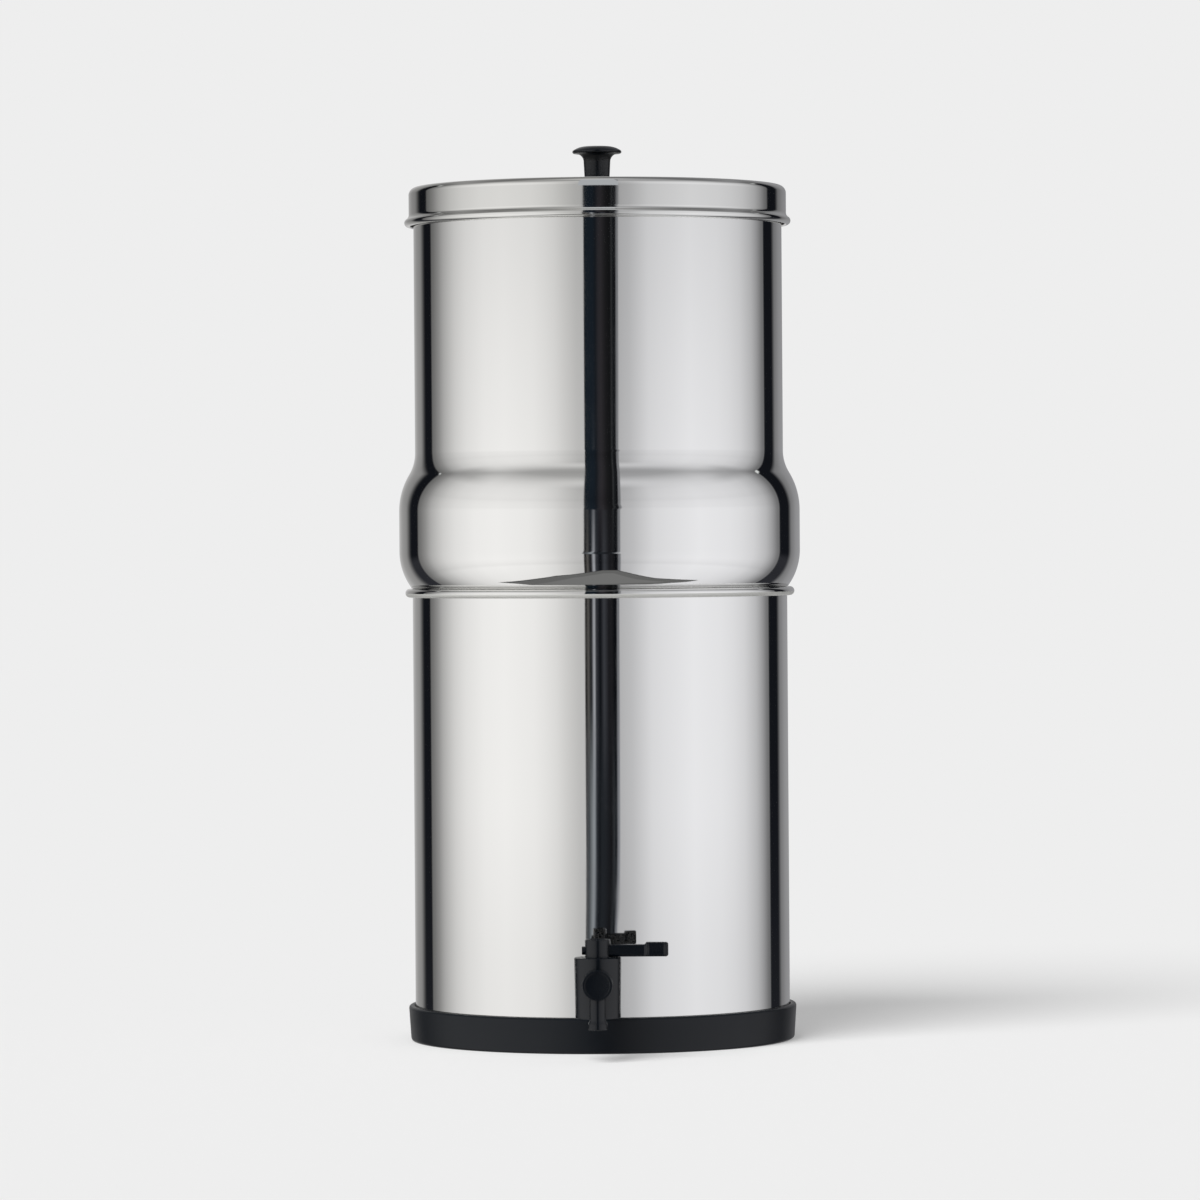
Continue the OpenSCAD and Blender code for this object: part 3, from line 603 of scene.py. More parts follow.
def make_tap_body():
    """Barrel with the threaded stem, the flange on the tank, the dished spout front and the nozzle,
    bored for the plug, its tail and the water."""
    middle = (0, BARREL_Y, TAP_Z)
    barrel_h = BARREL_TOP - BARREL_BOTTOM
    barrel = solid(rounded([(0, 0, 0), (BARREL_R - BARREL_TAPER, 0, 0.6), (BARREL_R, barrel_h, 0.5),
                            (0, barrel_h, 0)]), (0, BARREL_Y, BARREL_BOTTOM), UP)
    stem_l = STEM_END_Y - BARREL_Y
    free = WASHER_Y - BARREL_Y
    start, end = free + STEM_THREAD_START, stem_l - STEM_CHAMFER
    stem = np.vstack([[[0, 0], [STEM_R, 0], [STEM_R, free]], thread_rows(STEM_R, STEM_PITCH, start, end),
                      [[STEM_R - STEM_CHAMFER, stem_l], [0, stem_l]]])
    flange = rounded([(0, 0, 0), (FLANGE_R, 0, 0), (FLANGE_R, FLANGE_T, 0.7), (0, FLANGE_T, 0)])
    spout = rounded([(0, 0, 0), (SPOUT_R, 0, 0), *sunk_end(SPOUT_R, SPOUT_REACH, 0.5, SPOUT_RIM)])
    lip_z = NOZZLE_Z + NOZZLE_LIP_H
    nozzle = rounded([(0, NOZZLE_Z, 0), (NOZZLE_LIP_R, NOZZLE_Z, 0.5), (NOZZLE_LIP_R - 0.2, lip_z, 0.6),
                      (NOZZLE_R, lip_z + NOZZLE_CONE_H, 0.8), (NOZZLE_R, TAP_Z, 0), (0, TAP_Z, 0)])
    body = combined("tap_body_plastic", barrel, [
        solid(stem, middle, BACK, relief=thread(STEM_PITCH, STEM_THREAD_DEPTH, start, end)),
        solid(flange, (0, WASHER_Y, TAP_Z), FRONT),
        solid(spout, middle, FRONT),
        solid(nozzle, (0, NOZZLE_Y, 0), UP)], "UNION")
    body = combined("tap_body_plastic", body, [
        solid(rod(PLUG_R, PLUG_DRILL_L), (0, BARREL_Y, PLUG_BOTTOM), UP),
        solid(rod(TAIL_R + PLAY, TAIL_DRILL_L), (0, BARREL_Y, BARREL_BOTTOM - TAIL_DRILL_L / 3), UP),
        solid(rod(STEM_BORE_R, stem_l + 3), middle, BACK),
        solid(rod(PLUG_BORE_R, BARREL_Y - NOZZLE_Y), middle, FRONT),
        solid(rod(NOZZLE_BORE_R, TAP_Z - NOZZLE_Z + DRILL_START),
              (0, NOZZLE_Y, NOZZLE_Z - DRILL_START), UP)], "DIFFERENCE")
    smooth(body.data, SMOOTH_TO)
    return body


def make_tap_spindle():
    """Plug with its cross bore, a tail that clicks under the barrel and a hub bored for the lever's
    pin."""
    tail_z = BARREL_BOTTOM - 0.1
    end_z = tail_z - TAIL_H
    plug_z = PLUG_BOTTOM + 0.1
    outline = rounded([(0, end_z, 0), (TAIL_R - 0.8, end_z, 0.2), (TAIL_R + TAIL_LIP, tail_z - 0.4, 0.2),
                       (TAIL_R + TAIL_LIP, tail_z, 0), (TAIL_R, tail_z, 0), (TAIL_R, plug_z, 0),
                       (PLUG_R - PLAY, plug_z, 0.3), (PLUG_R - PLAY, BARREL_TOP, 0),
                       (HUB_R, BARREL_TOP + 0.2, 0), *sunk_end(HUB_R, HUB_TOP, 0.7, HUB_RIM)])
    left = -BORE_L / 2
    spindle = combined("tap_spindle_plastic", solid(outline, (0, BARREL_Y, 0), UP), [
        solid(rod(PLUG_BORE_R, BORE_L), (left, BARREL_Y, TAP_Z), RIGHT),
        solid(rod(PIN_R + PLAY, BORE_L), (left, BARREL_Y, PIN_Z), RIGHT)], "DIFFERENCE")
    smooth(spindle.data, SMOOTH_TO)
    return spindle


def make_tap_lever():
    """Lever swept along X: each cross-section is a rounded box, |y / b|^6 + |z / h|^6 = 1, whose half
    sizes b and h follow the arm, the step up to the paddle with the groove before it, and the paddle's
    rounded end; the paddle is hollowed a little on both faces for the thumb."""
    start, reach, end_r = HUB_R - 1.2, LEVER_REACH, 1.3
    paddle = reach - PADDLE_L
    # cross-sections, closer together at the step and at the rounded end
    x = np.concatenate([[start, start + 0.3], np.linspace(start + 1, paddle - 1.6, 14),
                        np.linspace(paddle - 1.4, paddle + 1.4, 15),
                        np.linspace(paddle + 1.8, reach - 1.6, 14),
                        reach - end_r + end_r * np.sin(np.radians(np.linspace(4, 90, 12)))])
    # the step's share from arm to paddle, a smooth rise 1.2 mm long
    rise = np.clip((x - paddle + 0.8) / 1.2, 0, 1)
    rise = rise * rise * (3 - 2 * rise)
    # how far the rounded end, the groove and the hollows lie inside the plain shape
    inset = 1.2 * (1 - np.sqrt(1 - (np.clip(x - reach + end_r, 0, end_r) / end_r) ** 2))
    groove = LEVER_DENT * np.exp(-((x - paddle + 0.2) / 0.5) ** 2)
    hollow = LEVER_DENT * np.clip(x - paddle - 0.6, 0, 1) * np.clip(reach - 1.2 - x, 0, 1)
    top = LEVER_LOW + ARM_H + (PADDLE_H - ARM_H) * rise - inset
    half_h, middle = (top - LEVER_LOW - inset) / 2, (top + LEVER_LOW + inset) / 2
    half_t = LEVER_T / 2 - groove - inset
    angle = np.radians(np.arange(0, 360, 5))
    size = (np.abs(np.cos(angle)) ** 6 + np.abs(np.sin(angle)) ** 6) ** (-1 / 6)
    y = half_t[:, None] * np.cos(angle) * size
    z = half_h[:, None] * np.sin(angle) * size
    # the hollows fade towards the paddle's upper and lower edges and leave its rounded sides alone
    dent = hollow[:, None] * np.sqrt(np.clip(1.25 - np.abs(z) / 3.0, 0, 1)) * (np.abs(z) < 3.1)
    y = np.sign(y) * np.maximum(np.abs(y) - dent * (np.abs(y) > 1.2), 0)
    arm = closed_tube(np.stack([x[:, None] + 0 * y, y + BARREL_Y, z + middle[:, None]], axis=2))
    pin = lathed(rounded([(0, 0, 0), (PIN_R, 0, 0.4), (PIN_R, PIN_L, 0), (0, PIN_L, 0)]),
                 (-HUB_R - 1.6, BARREL_Y, PIN_Z), RIGHT, SMALL_SEGMENTS // 2)
    return make("tap_lever_plastic", [arm, pin], SMOOTH_TO)


def make_spindle_o_rings():
    """Two rings of round section in the plug's grooves."""
    parts = []
    for level in O_RING_LEVELS:
        circle = arc((O_RING_CENTRE_R, level), O_RING_R, 0, 345, 15)
        points, faces = lathe_arrays(circle, SMALL_SEGMENTS, closed=True)
        parts.append((points + np.array([0, BARREL_Y, 0]), faces))
    return make("spindle_o_rings_rubber", parts)


def make_tap_washer(name, wall_r, face_y):
    """Washer between a flat face and the round wall: a ring whose points lie, from s = 0 at the wall to
    s = 1 at the face, at y = w + s (face_y - w) with w = -sqrt(wall_r^2 - x^2)."""
    edge, turn = 0.4, 1.0 if face_y < -wall_r else -1.0
    across = np.array([[WALL_HOLE_R, 0], [TAP_WASHER_R - edge, 0], [TAP_WASHER_R, 0.12],
                       [TAP_WASHER_R, 0.88], [TAP_WASHER_R - edge, 1], [WALL_HOLE_R, 1]])
    points, faces = lathe_arrays(across, SMALL_SEGMENTS, closed=True)
    x, z, share = turn * points[:, 0], points[:, 1], points[:, 2]
    wall = -np.sqrt(wall_r ** 2 - x ** 2)
    points = np.stack([x, wall + share * (face_y - wall), z + TAP_Z], axis=1)
    return make(name, [(points, faces)], 30)


def make_tap_nut():
    """Hexagon nut with turned corners: at height h above the face towards the washer its radius is the
    smaller of the hexagon's, half_width / cos a, and a cone's, corner_r + length - h slope."""
    half_width, corner_r = TAP_NUT_AF / 2, TAP_NUT_AF / 2 / math.cos(math.radians(30))
    slope = (corner_r - half_width - TAP_NUT_EDGE + TAP_NUT_L) / TAP_NUT_L

    def hexagon(angle, radius, height):
        aside = (angle + math.pi / 6) % (math.pi / 3) - math.pi / 6
        flat = half_width / np.cos(np.abs(aside) - math.pi / 6)
        cone = corner_r + TAP_NUT_L - height * slope
        return np.where(radius > STEM_R + 1, np.minimum(flat, cone) - radius, 0)

    rise = np.linspace(TAP_NUT_L - TAP_NUT_TURNED, TAP_NUT_L, 12)
    outline = np.vstack([[[STEM_R + PLAY, 0], [corner_r, 0]],
                         np.stack([0 * rise + corner_r, rise], axis=1), [[STEM_R + PLAY, TAP_NUT_L]]])
    points, faces = lathe_arrays(outline, SMALL_SEGMENTS, closed=True, relief=hexagon)
    points = np.stack([points[:, 0], TAP_NUT_Y + points[:, 2], TAP_Z - points[:, 1]], axis=1)
    return make("tap_nut_plastic", [(points, faces)], 20)


# ---- Candles and the fittings of the chamber's floor ----

CANDLE_R = 24.5
CANDLE_H = 182.0
CANDLE_DOME = 0.8       # radius of the dome's edge, as a share of the candle's
CERAMIC_T = 7.0
CAP_H = 14.0
CAP_WALL = 1.5
CAP_FLOOR = 4.0
CAP_EDGE_R = 2.5
CAP_LIP_R = 0.5
THREAD_R = 5.0
THREAD_PITCH = 1.5
THREAD_DEPTH = 0.75
OUTLET_R = 2.2
CANDLE_STEM_L = 38.0
PLUG_STEM_L = 24.0
PLUG_HEAD_R = 11.5
PLUG_HEAD_H = 5.0
FLOOR_WASHER_R = 12.0
FLOOR_WASHER_T = 3.0
WING_SPAN = 40.0
WING_DROP = 13.0
WING_T = 3.4
WING_CORNER_R = 4.0
WING_EDGE_R = 1.0
NUT_FLANGE_R = 10.5
NUT_FLANGE_T = 2.0
NUT_HUB_R = 9.0
NUT_HUB_H = 9.0
WASHER_TOP = UPPER_FLOOR + SHEET + FLOOR_WASHER_T
CERAMIC_Z = WASHER_TOP + CAP_FLOOR
CERAMIC_TOP = WASHER_TOP + CANDLE_H


def domed(radius, low, top):
    """Upright side and domed end of a candle, up to the axis."""
    round_r = radius * CANDLE_DOME
    return np.vstack([[[radius, low]], arc((radius - round_r, top - round_r), round_r, 0, 90),
                      [[0, top]]])


def make_ceramic(name, direction):
    """Hollow ceramic candle, open at its foot."""
    inner = domed(CANDLE_R - CERAMIC_T, CERAMIC_Z, CERAMIC_TOP - CERAMIC_T)
    return turned(name, np.vstack([inner[::-1], domed(CANDLE_R, CERAMIC_Z, CERAMIC_TOP)]),
                  centre=hole_at(direction))


def make_stemmed(name, direction, bore_r, length, head, **options):
    """Fitting at a floor hole: a threaded stem of this length below the washer, and a head, whose
    outline starts at the stem's top."""
    foot = WASHER_TOP - length
    start, end = foot + STEM_CHAMFER, WASHER_TOP - 1
    outline = np.vstack([[[bore_r, foot], [THREAD_R - STEM_CHAMFER, foot]],
                         thread_rows(THREAD_R, THREAD_PITCH, start, end), [[THREAD_R, WASHER_TOP]], head])
    wave = thread(THREAD_PITCH, THREAD_DEPTH, start, end)

    def on_thread_only(angle, radius, height):
        return np.where(np.abs(radius - THREAD_R) < 0.01, wave(angle, radius, height), 0)

    return turned(name, outline, centre=hole_at(direction), relief=on_thread_only, **options)


def make_candle_cap(name, direction):
    """Cup glued round the candle's foot, with the threaded stem that the water leaves by."""
    cap_r = CANDLE_R + PLAY + CAP_WALL
    rim_z = WASHER_TOP + CAP_H
    cup = np.vstack([arc((cap_r - CAP_EDGE_R, WASHER_TOP + CAP_EDGE_R), CAP_EDGE_R, -90, 0, 10),
                     arc((cap_r - CAP_LIP_R, rim_z - CAP_LIP_R), CAP_LIP_R, 0, 90, 15),
                     [[CANDLE_R + PLAY, rim_z], [CANDLE_R + PLAY, CERAMIC_Z], [OUTLET_R, CERAMIC_Z]]])
    return make_stemmed(name, direction, OUTLET_R, CANDLE_STEM_L, cup, closed=True)


def make_blanking_plug(name, direction):
    """Round-headed plug whose threaded stem passes through the floor."""
    top = WASHER_TOP + PLUG_HEAD_H
    head = rounded([(THREAD_R, WASHER_TOP, 0), (PLUG_HEAD_R, WASHER_TOP, 0.3), (PLUG_HEAD_R, top, 2),
                    (0, top, 0)])[1:]
    return make_stemmed(name, direction, 0, PLUG_STEM_L, head)


def make_floor_washer(name, direction):
    """Flat rubber ring with softened edges between a stem's shoulder and the floor."""
    low, bore = UPPER_FLOOR + SHEET, THREAD_R + PLAY
    outline = rounded([(bore, low + 1, 0), (bore, low, 0.3), (FLOOR_WASHER_R, low, 0.4),
                       (FLOOR_WASHER_R, WASHER_TOP, 0.6), (bore, WASHER_TOP, 0.3),
                       (bore, low + 1, 0)])[:-1]
    return turned(name, outline, centre=hole_at(direction), closed=True)


def slab(outline, thickness, edge):
    """Flat piece across y with rounded edges. Outline is (x, z), leftwards round; at each step a of the
    rounding every point lies edge (1 - cos a) inside it and edge (1 - sin a) from the face."""
    before, after = np.roll(outline, 1, axis=0), np.roll(outline, -1, axis=0)
    along = after - before
    inward = np.stack([-along[:, 1], along[:, 0]], axis=1) / np.hypot(*along.T)[:, None]
    angle = np.radians([90, 60, 30, 0])
    inset = np.concatenate([edge * (1 - np.cos(angle)), edge * (1 - np.cos(angle[::-1]))])
    rise = thickness / 2 - edge * (1 - np.sin(angle))
    y = np.concatenate([-rise, rise[::-1]])
    flat = outline[None] + inset[:, None, None] * inward[None]
    level = np.broadcast_to(y[:, None], flat.shape[:2])
    return closed_tube(np.stack([flat[..., 0], level, flat[..., 1]], axis=2), -1)


def wing_nut_mesh():
    """Wing nut about the axis, its flange's top at height 0: a flange, a tapered hub and two wings that
    flare outwards and down, joined and bored through."""
    tip = WING_SPAN / 2 - WING_CORNER_R
    side = np.vstack([
        [[NUT_FLANGE_R, -NUT_FLANGE_T]],
        arc((tip, -WING_DROP + 2 * WING_CORNER_R), WING_CORNER_R, 90, 0, 10),
        arc((tip, -WING_DROP + WING_CORNER_R), WING_CORNER_R, 0, -90, 10),
        [[THREAD_R + 1, -NUT_HUB_H]]])
    flange = rounded([(0, -NUT_FLANGE_T, 0), (NUT_FLANGE_R, -NUT_FLANGE_T, 0.4), (NUT_FLANGE_R, 0, 0.4),
                      (0, 0, 0)])
    hub = rounded([(0, -NUT_HUB_H, 0), (NUT_HUB_R - 1, -NUT_HUB_H, 0.6), (NUT_HUB_R, -1, 0), (0, -1, 0)])
    wings = slab(np.vstack([side, side[::-1] * [-1, 1]])[::-1], WING_T, WING_EDGE_R)
    nut = combined("wing_nut", solid(flange, (0, 0, 0), UP),
                   [solid(hub, (0, 0, 0), UP), make("wings", [wings])], "UNION")
    bore = solid(rod(THREAD_R + PLAY, 2 * WING_DROP), (0, 0, -WING_DROP - 2), UP)
    mesh = combined("wing_nut", nut, [bore], "DIFFERENCE").data
    bpy.data.objects.remove(nut)
    smooth(mesh, 30)
    return mesh


def make_wing_nut(name, shape, direction):
    """Copy of the wing nut's shape below the floor hole in this direction, turned 45 degrees from it."""
    place = Vector((*hole_at(direction), UPPER_FLOOR)) * MM
    mesh = shape.copy()
    mesh.name = name
    mesh.transform(Matrix.Translation(place) @ Matrix.Rotation(math.radians(direction + 45), 4, "Z"))
    return linked(name, mesh)


# ---- Materials ----


def linear(hex_colour):
    """Linear red, green, blue and alpha of an sRGB hex colour such as #1c1d20."""
    values = np.array([int(hex_colour[i:i + 2], 16) for i in (1, 3, 5)]) / 255
    values = np.where(values <= 0.04045, values / 12.92, ((values + 0.055) / 1.055) ** 2.4)
    return (*values.tolist(), 1.0)


def add(tree, kind, inputs=None, **settings):
    """Adds one node: settings are its own properties, and inputs are values or sockets to link."""
    node = tree.nodes.new(kind)
    for key, value in settings.items():
        setattr(node, key, value)
    for key, value in (inputs or {}).items():
        if isinstance(value, bpy.types.NodeSocket):
            tree.links.new(value, node.inputs[key])
        else:
            node.inputs[key].default_value = value
    return node


def new_material(name):
    """An empty node material, its tree, and the object coordinates in millimetres."""
    material = bpy.data.materials.new(name)
    material.use_nodes = True
    tree = material.node_tree
    tree.nodes.clear()
    place = add(tree, "ShaderNodeTexCoord").outputs["Object"]
    in_mm = add(tree, "ShaderNodeVectorMath", {0: place, "Scale": 1 / MM}, operation="SCALE")
    return material, tree, in_mm.outputs[0]


def finish(tree, colour, **inputs):
    """The surface shader with this sRGB colour and these inputs, led to the output."""
    names = {key.replace("_", " ").title().replace("Ior", "IOR"): value for key, value in inputs.items()}
    shader = add(tree, "ShaderNodeBsdfPrincipled", {"Base Color": linear(colour), **names})
    add(tree, "ShaderNodeOutputMaterial", {"Surface": shader.outputs[0]})


NOISE_LOW, NOISE_HIGH = 0.3, 0.7    # most values of a noise lie between these
WAVE_SIZE = 70.0        # sizes of the patterns' features, in millimetres
WAVE_DEPTH = 0.02
MOP_HAZE_SIZE = 25.0
PICKLE_CLOUD_SIZE = 12.0
MOULD_CLOUD_SIZE = 18.0


def polished_steel(name, colour, low, high):
    """Drawn steel, polished, ground or plated: mirror reflections, sharp or blurred by the finish, a very
    faint wave left by drawing, and a haze from the polishing mop that comes and goes."""
    material, tree, place = new_material(name)
    wave = add(tree, "ShaderNodeTexNoise", {"Vector": place, "Scale": 1 / WAVE_SIZE, "Detail": 1.0})
    bump = add(tree, "ShaderNodeBump", {"Height": wave.outputs[0], "Strength": 1.0,
                                        "Distance": WAVE_DEPTH * MM})
    haze = add(tree, "ShaderNodeTexNoise", {"Vector": place, "Scale": 1 / MOP_HAZE_SIZE, "Detail": 4.0})
    rough = add(tree, "ShaderNodeMapRange", {0: haze.outputs[0], 1: NOISE_LOW, 2: NOISE_HIGH,
                                             3: low, 4: high})
    finish(tree, colour, metallic=1.0, roughness=rough.outputs[0], normal=bump.outputs[0])
    return material


def pickled_steel(name, colour, low, high):
    """Inside of a drawn steel vessel, pickled and left satin: a pale matt film over soft reflections."""
    material, tree, place = new_material(name)
    cloud = add(tree, "ShaderNodeTexNoise", {"Vector": place, "Scale": 1 / PICKLE_CLOUD_SIZE,
                                             "Detail": 4.0})
    rough = add(tree, "ShaderNodeMapRange", {0: cloud.outputs[0], 1: NOISE_LOW, 2: NOISE_HIGH,
                                             3: low, 4: high})
    finish(tree, colour, metallic=0.3, roughness=rough.outputs[0])
    return material


def moulded(name, colour, low, high, grain, depth, ior, gloss=0.5):
    """Moulded polymer: a spark-eroded mould leaves a fine even grain, which spreads the gloss. The grain
    is drawn a few times coarser than it is, so that it shows."""
    material, tree, place = new_material(name)
    grains = add(tree, "ShaderNodeTexNoise", {"Vector": place, "Scale": 1 / grain, "Detail": 2.0})
    bump = add(tree, "ShaderNodeBump", {"Height": grains.outputs[0], "Strength": 0.5,
                                        "Distance": depth * MM})
    cloud = add(tree, "ShaderNodeTexNoise", {"Vector": place, "Scale": 1 / MOULD_CLOUD_SIZE,
                                             "Detail": 3.0})
    rough = add(tree, "ShaderNodeMapRange", {0: cloud.outputs[0], 1: NOISE_LOW, 2: NOISE_HIGH,
                                             3: low, 4: high})
    finish(tree, colour, roughness=rough.outputs[0], ior=ior, specular_ior_level=gloss,
           normal=bump.outputs[0])
    return material


def porous(name, colour, grain, depth, roughness, ior):
    """Fired ceramic or pressed carbon: a matt, slightly uneven surface with fine open pores, which are
    drawn coarser than they are, so that they show."""
    material, tree, place = new_material(name)
    pores = add(tree, "ShaderNodeTexNoise", {"Vector": place, "Scale": 1 / grain, "Detail": 4.0})
    bump = add(tree, "ShaderNodeBump", {"Height": pores.outputs[0], "Strength": 0.6,
                                        "Distance": depth * MM})
    finish(tree, colour, roughness=roughness, ior=ior, normal=bump.outputs[0])
    return material


lid_steel = polished_steel("satin_polished_stainless_steel", "#dbdbd8", 0.05, 0.075)
panel_steel = polished_steel("satin_ground_stainless_steel", "#d6d6d3", 0.3, 0.36)
inside_steel = pickled_steel("pickled_stainless_steel", "#cbcbc7", 0.36, 0.46)
SLOT_MATERIALS = {
    "polished_steel": polished_steel("mirror_polished_stainless_steel", "#e2e2e0", 0.03, 0.055),
    "plated_steel": polished_steel("zinc_plated_steel", "#c9cac8", 0.22, 0.3),
    "black_plastic": moulded("moulded_black_abs", "#03070d", 0.22, 0.28, 0.35, 0.012, 1.53, 0.33),
    "black_rubber": moulded("moulded_black_rubber", "#060b11", 0.32, 0.39, 0.5, 0.015, 1.52, 0.25),
    "white_plastic": moulded("moulded_white_polypropylene", "#e9e8e2", 0.38, 0.46, 0.4, 0.01, 1.49),
    "ceramic": porous("unglazed_ceramic", "#f1eee4", 0.6, 0.04, 0.85, 1.5),
    "carbon": porous("pressed_carbon", "#232323", 0.8, 0.1, 0.8, 1.6)}

# ---- Pieces with their bodies, slots and CAD nodes ----


def dress(obj, slot, body, node, first=None, second=None):
    """Gives a piece the material of its slot, or the materials first and second, lets it ride
    on a body and stand for the CAD's node."""
    obj.data.materials.append(first or SLOT_MATERIALS[slot])
    if second is not None:
        obj.data.materials.append(second)
    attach(obj, body)
    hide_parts(node)


def dress_floor_fittings():
    """Candles left and right, blanking plugs front and back, and the washer and nut under each."""
    for side, direction in (("left", 180), ("right", 0)):
        node = side + "_candle_ceramic"
        dress(make_ceramic(node + "_shell", direction), "ceramic", "upper", node)
        node = side + "_candle_cap"
        dress(make_candle_cap(node + "_plastic", direction), "white_plastic", "upper", node)
    for side, direction in (("front", -90), ("back", 90)):
        node = side + "_blanking_plug"
        dress(make_blanking_plug(node + "_plastic", direction), "white_plastic", "upper", node)
    shape = wing_nut_mesh()
    for washer, nut, direction in (("left_candle_washer", "left_wing_nut", 180),
                                   ("right_candle_washer", "right_wing_nut", 0),
                                   ("front_plug_washer", "front_plug_nut", -90),
                                   ("back_plug_washer", "back_plug_nut", 90)):
        dress(make_floor_washer(washer + "_rubber", direction), "black_rubber", "upper", washer)
        dress(make_wing_nut(nut + "_plastic", shape, direction), "white_plastic", "upper", nut)
    bpy.data.meshes.remove(shape)


def dress_cad_nodes():
    """Gives each CAD node that is still shown the material of its slot in the record."""
    slots = {part["node"]: part["material_slot"] for part in frame["record"]["subparts"]}
    for name, obj in frame["nodes"].items():
        if not obj.hide_render:
            obj.data.materials.clear()
            obj.data.materials.append(SLOT_MATERIALS[slots[name]])


dress(make_lower_chamber(), "polished_steel", "lower", "lower_chamber", second=inside_steel)
dress(make_upper_chamber(), "polished_steel", "upper", "upper_chamber", second=inside_steel)
dress(make_lid(), "polished_steel", "lid", "lid", first=lid_steel, second=panel_steel)
dress(make_base_ring(), "black_rubber", "lower", "base_ring")
dress(make_lid_knob(), "black_plastic", "lid", "lid_knob")
dress(make_tap_body(), "black_plastic", "lower", "tap_body")
dress(make_tap_spindle(), "black_plastic", "tap_valve", "tap_spindle")
dress(make_tap_lever(), "black_plastic", "tap_valve", "tap_lever")
dress(make_spindle_o_rings(), "black_rubber", "tap_valve", "spindle_o_rings")
dress(make_tap_washer("tap_outer_washer_rubber", LOWER_R, WASHER_Y), "black_rubber", "lower",
      "tap_outer_washer")
dress(make_tap_washer("tap_inner_washer_rubber", LOWER_INNER_R, TAP_NUT_Y), "black_rubber", "lower",
      "tap_inner_washer")
dress(make_tap_nut(), "black_plastic", "lower", "tap_nut")
dress_floor_fittings()
dress_cad_nodes()

# ---- Studio ----

PALE = 0.855            # brightness of backdrop and floor
SKY = 0.27              # brightness that matt surfaces receive from all round

# Brightness of the studio by its direction round the object: 0 is the camera's side, right is
# positive. Two large soft lamps stand left and right, a dim wall behind.
ROUND = [(-180, 0.62), (-172, 0.53), (-166, 0.45), (-157, 0.34), (-147, 0.28), (-127, 0.165),
         (-124, 0.2), (-118, 0.315), (-112, 0.49), (-100, 0.75), (-90, 0.895), (-75, 1.01),
         (-60, 1.04), (-40, 0.99), (-32, 0.92), (-26, 0.85), (-20, 0.74), (-12, 0.61), (13, 0.55),
         (20, 0.62), (32, 0.845), (40, 0.9), (60, 1.0), (80, 0.955), (90, 0.895), (100, 0.8),
         (112, 0.59), (118, 0.42), (125, 0.2), (147, 0.225), (156, 0.305), (166, 0.32)]
# The same by height above the horizon
HIGH = [(-90, 0.8), (-68, 0.9), (-50, 1.0), (-35, 1.05), (-24, 1.09), (-18, 1.13), (-12, 1.1),
        (0, 1.08), (4, 1.05), (12, 1.12), (20, 1.09), (30, 0.98), (42, 0.77), (54, 0.46),
        (62, 0.39), (76, 0.55), (84, 0.8), (90, 0.85)]
# What shows in the dark gap between the lamps, left to right: above the horizon, just below it and
# lower down
GAP_HIGH = [(-12, "#5a5d60"), (-9.4, "#181f25"), (-8.4, "#1c242c"), (-4.5, "#1b232c"),
            (-2.8, "#1b1f25"), (-1.2, "#302f34"), (0.4, "#333135"), (1.8, "#2a292c"),
            (3.4, "#1f1f21"), (5.6, "#17181a"), (6.1, "#18191b"), (6.9, "#36383a"), (7.6, "#1e2023"),
            (9.1, "#0f1114"), (9.5, "#4c4e52"), (9.65, "#7e7f83"), (12, "#909296")]
GAP_MID = [(-12, "#5a5856"), (-9.0, "#1e1c1b"), (-7.8, "#605e5c"), (-6.5, "#1f1f22"),
           (-5.6, "#25262a"), (-4.7, "#9ea0a7"), (-4.0, "#b2b4bb"), (-3.2, "#3f4147"),
           (-2.2, "#303238"), (-0.9, "#111318"), (-0.1, "#17191e"), (1.7, "#42444a"), (4.5, "#1e1e22"),
           (6.2, "#222225"), (7.9, "#0d0e12"), (9.1, "#0d0f14"), (9.5, "#505256"), (9.6, "#7c7d82"),
           (12, "#84868c")]
GAP_LOW = [(-12, "#5a5a5b"), (-9.2, "#535457"), (-7.6, "#4b4f54"), (-6.7, "#72777c"),
           (-5.0, "#9ba0a6"), (-4.3, "#8f949b"), (-3.3, "#363a40"), (-1.6, "#17191e"),
           (-0.1, "#262a2f"), (2.2, "#25282d"), (5.9, "#18181b"), (7.4, "#35383c"), (8.5, "#16191e"),
           (9.1, "#1e2126"), (9.45, "#606268"), (9.6, "#808288"), (12, "#9ea0a8")]
# The gap's lean in degrees, with LEAN_SHIFT added because a ramp holds nothing below 0, and its share of
# the full width, by height above the horizon
LEAN_SHIFT = 3.0
GAP_LEAN = [(-5, 3.0), (-4.2, 1.0), (-3.74, 1.01), (-3.55, 1.8), (-3.36, 2.2), (-2.85, 2.51),
            (-0.95, 2.68), (0, 3.0), (1.3, 3.15), (2.9, 3.53), (3.5, 3.6), (8, 3.2)]
GAP_WIDE = [(-5, 1.0), (-4.2, 0.9), (-3.74, 0.915), (-3.36, 0.975), (-2.9, 0.99), (-0.7, 1.004),
            (0, 0.98), (1.1, 1.008), (3.3, 1.027), (8, 1.0)]


def grey(brightness):
    """Red, green, blue and alpha of a grey."""
    return (brightness, brightness, brightness, 1)


def ramp(tree, value, stops):
    """Colours of (place, brightness or hex colour) stops, with straight blends between them, at the
    place that value tells."""
    first, last = stops[0][0], stops[-1][0]
    share = add(tree, "ShaderNodeMapRange", {0: value, 1: first, 2: last})
    node = add(tree, "ShaderNodeValToRGB", {0: share.outputs[0]})
    elements = node.color_ramp.elements
    elements.remove(elements[1])
    for i, (place, shade) in enumerate(stops):
        element = elements.new((place - first) / (last - first)) if i else elements[0]
        element.color = linear(shade) if isinstance(shade, str) else grey(shade)
    return node.outputs[0]


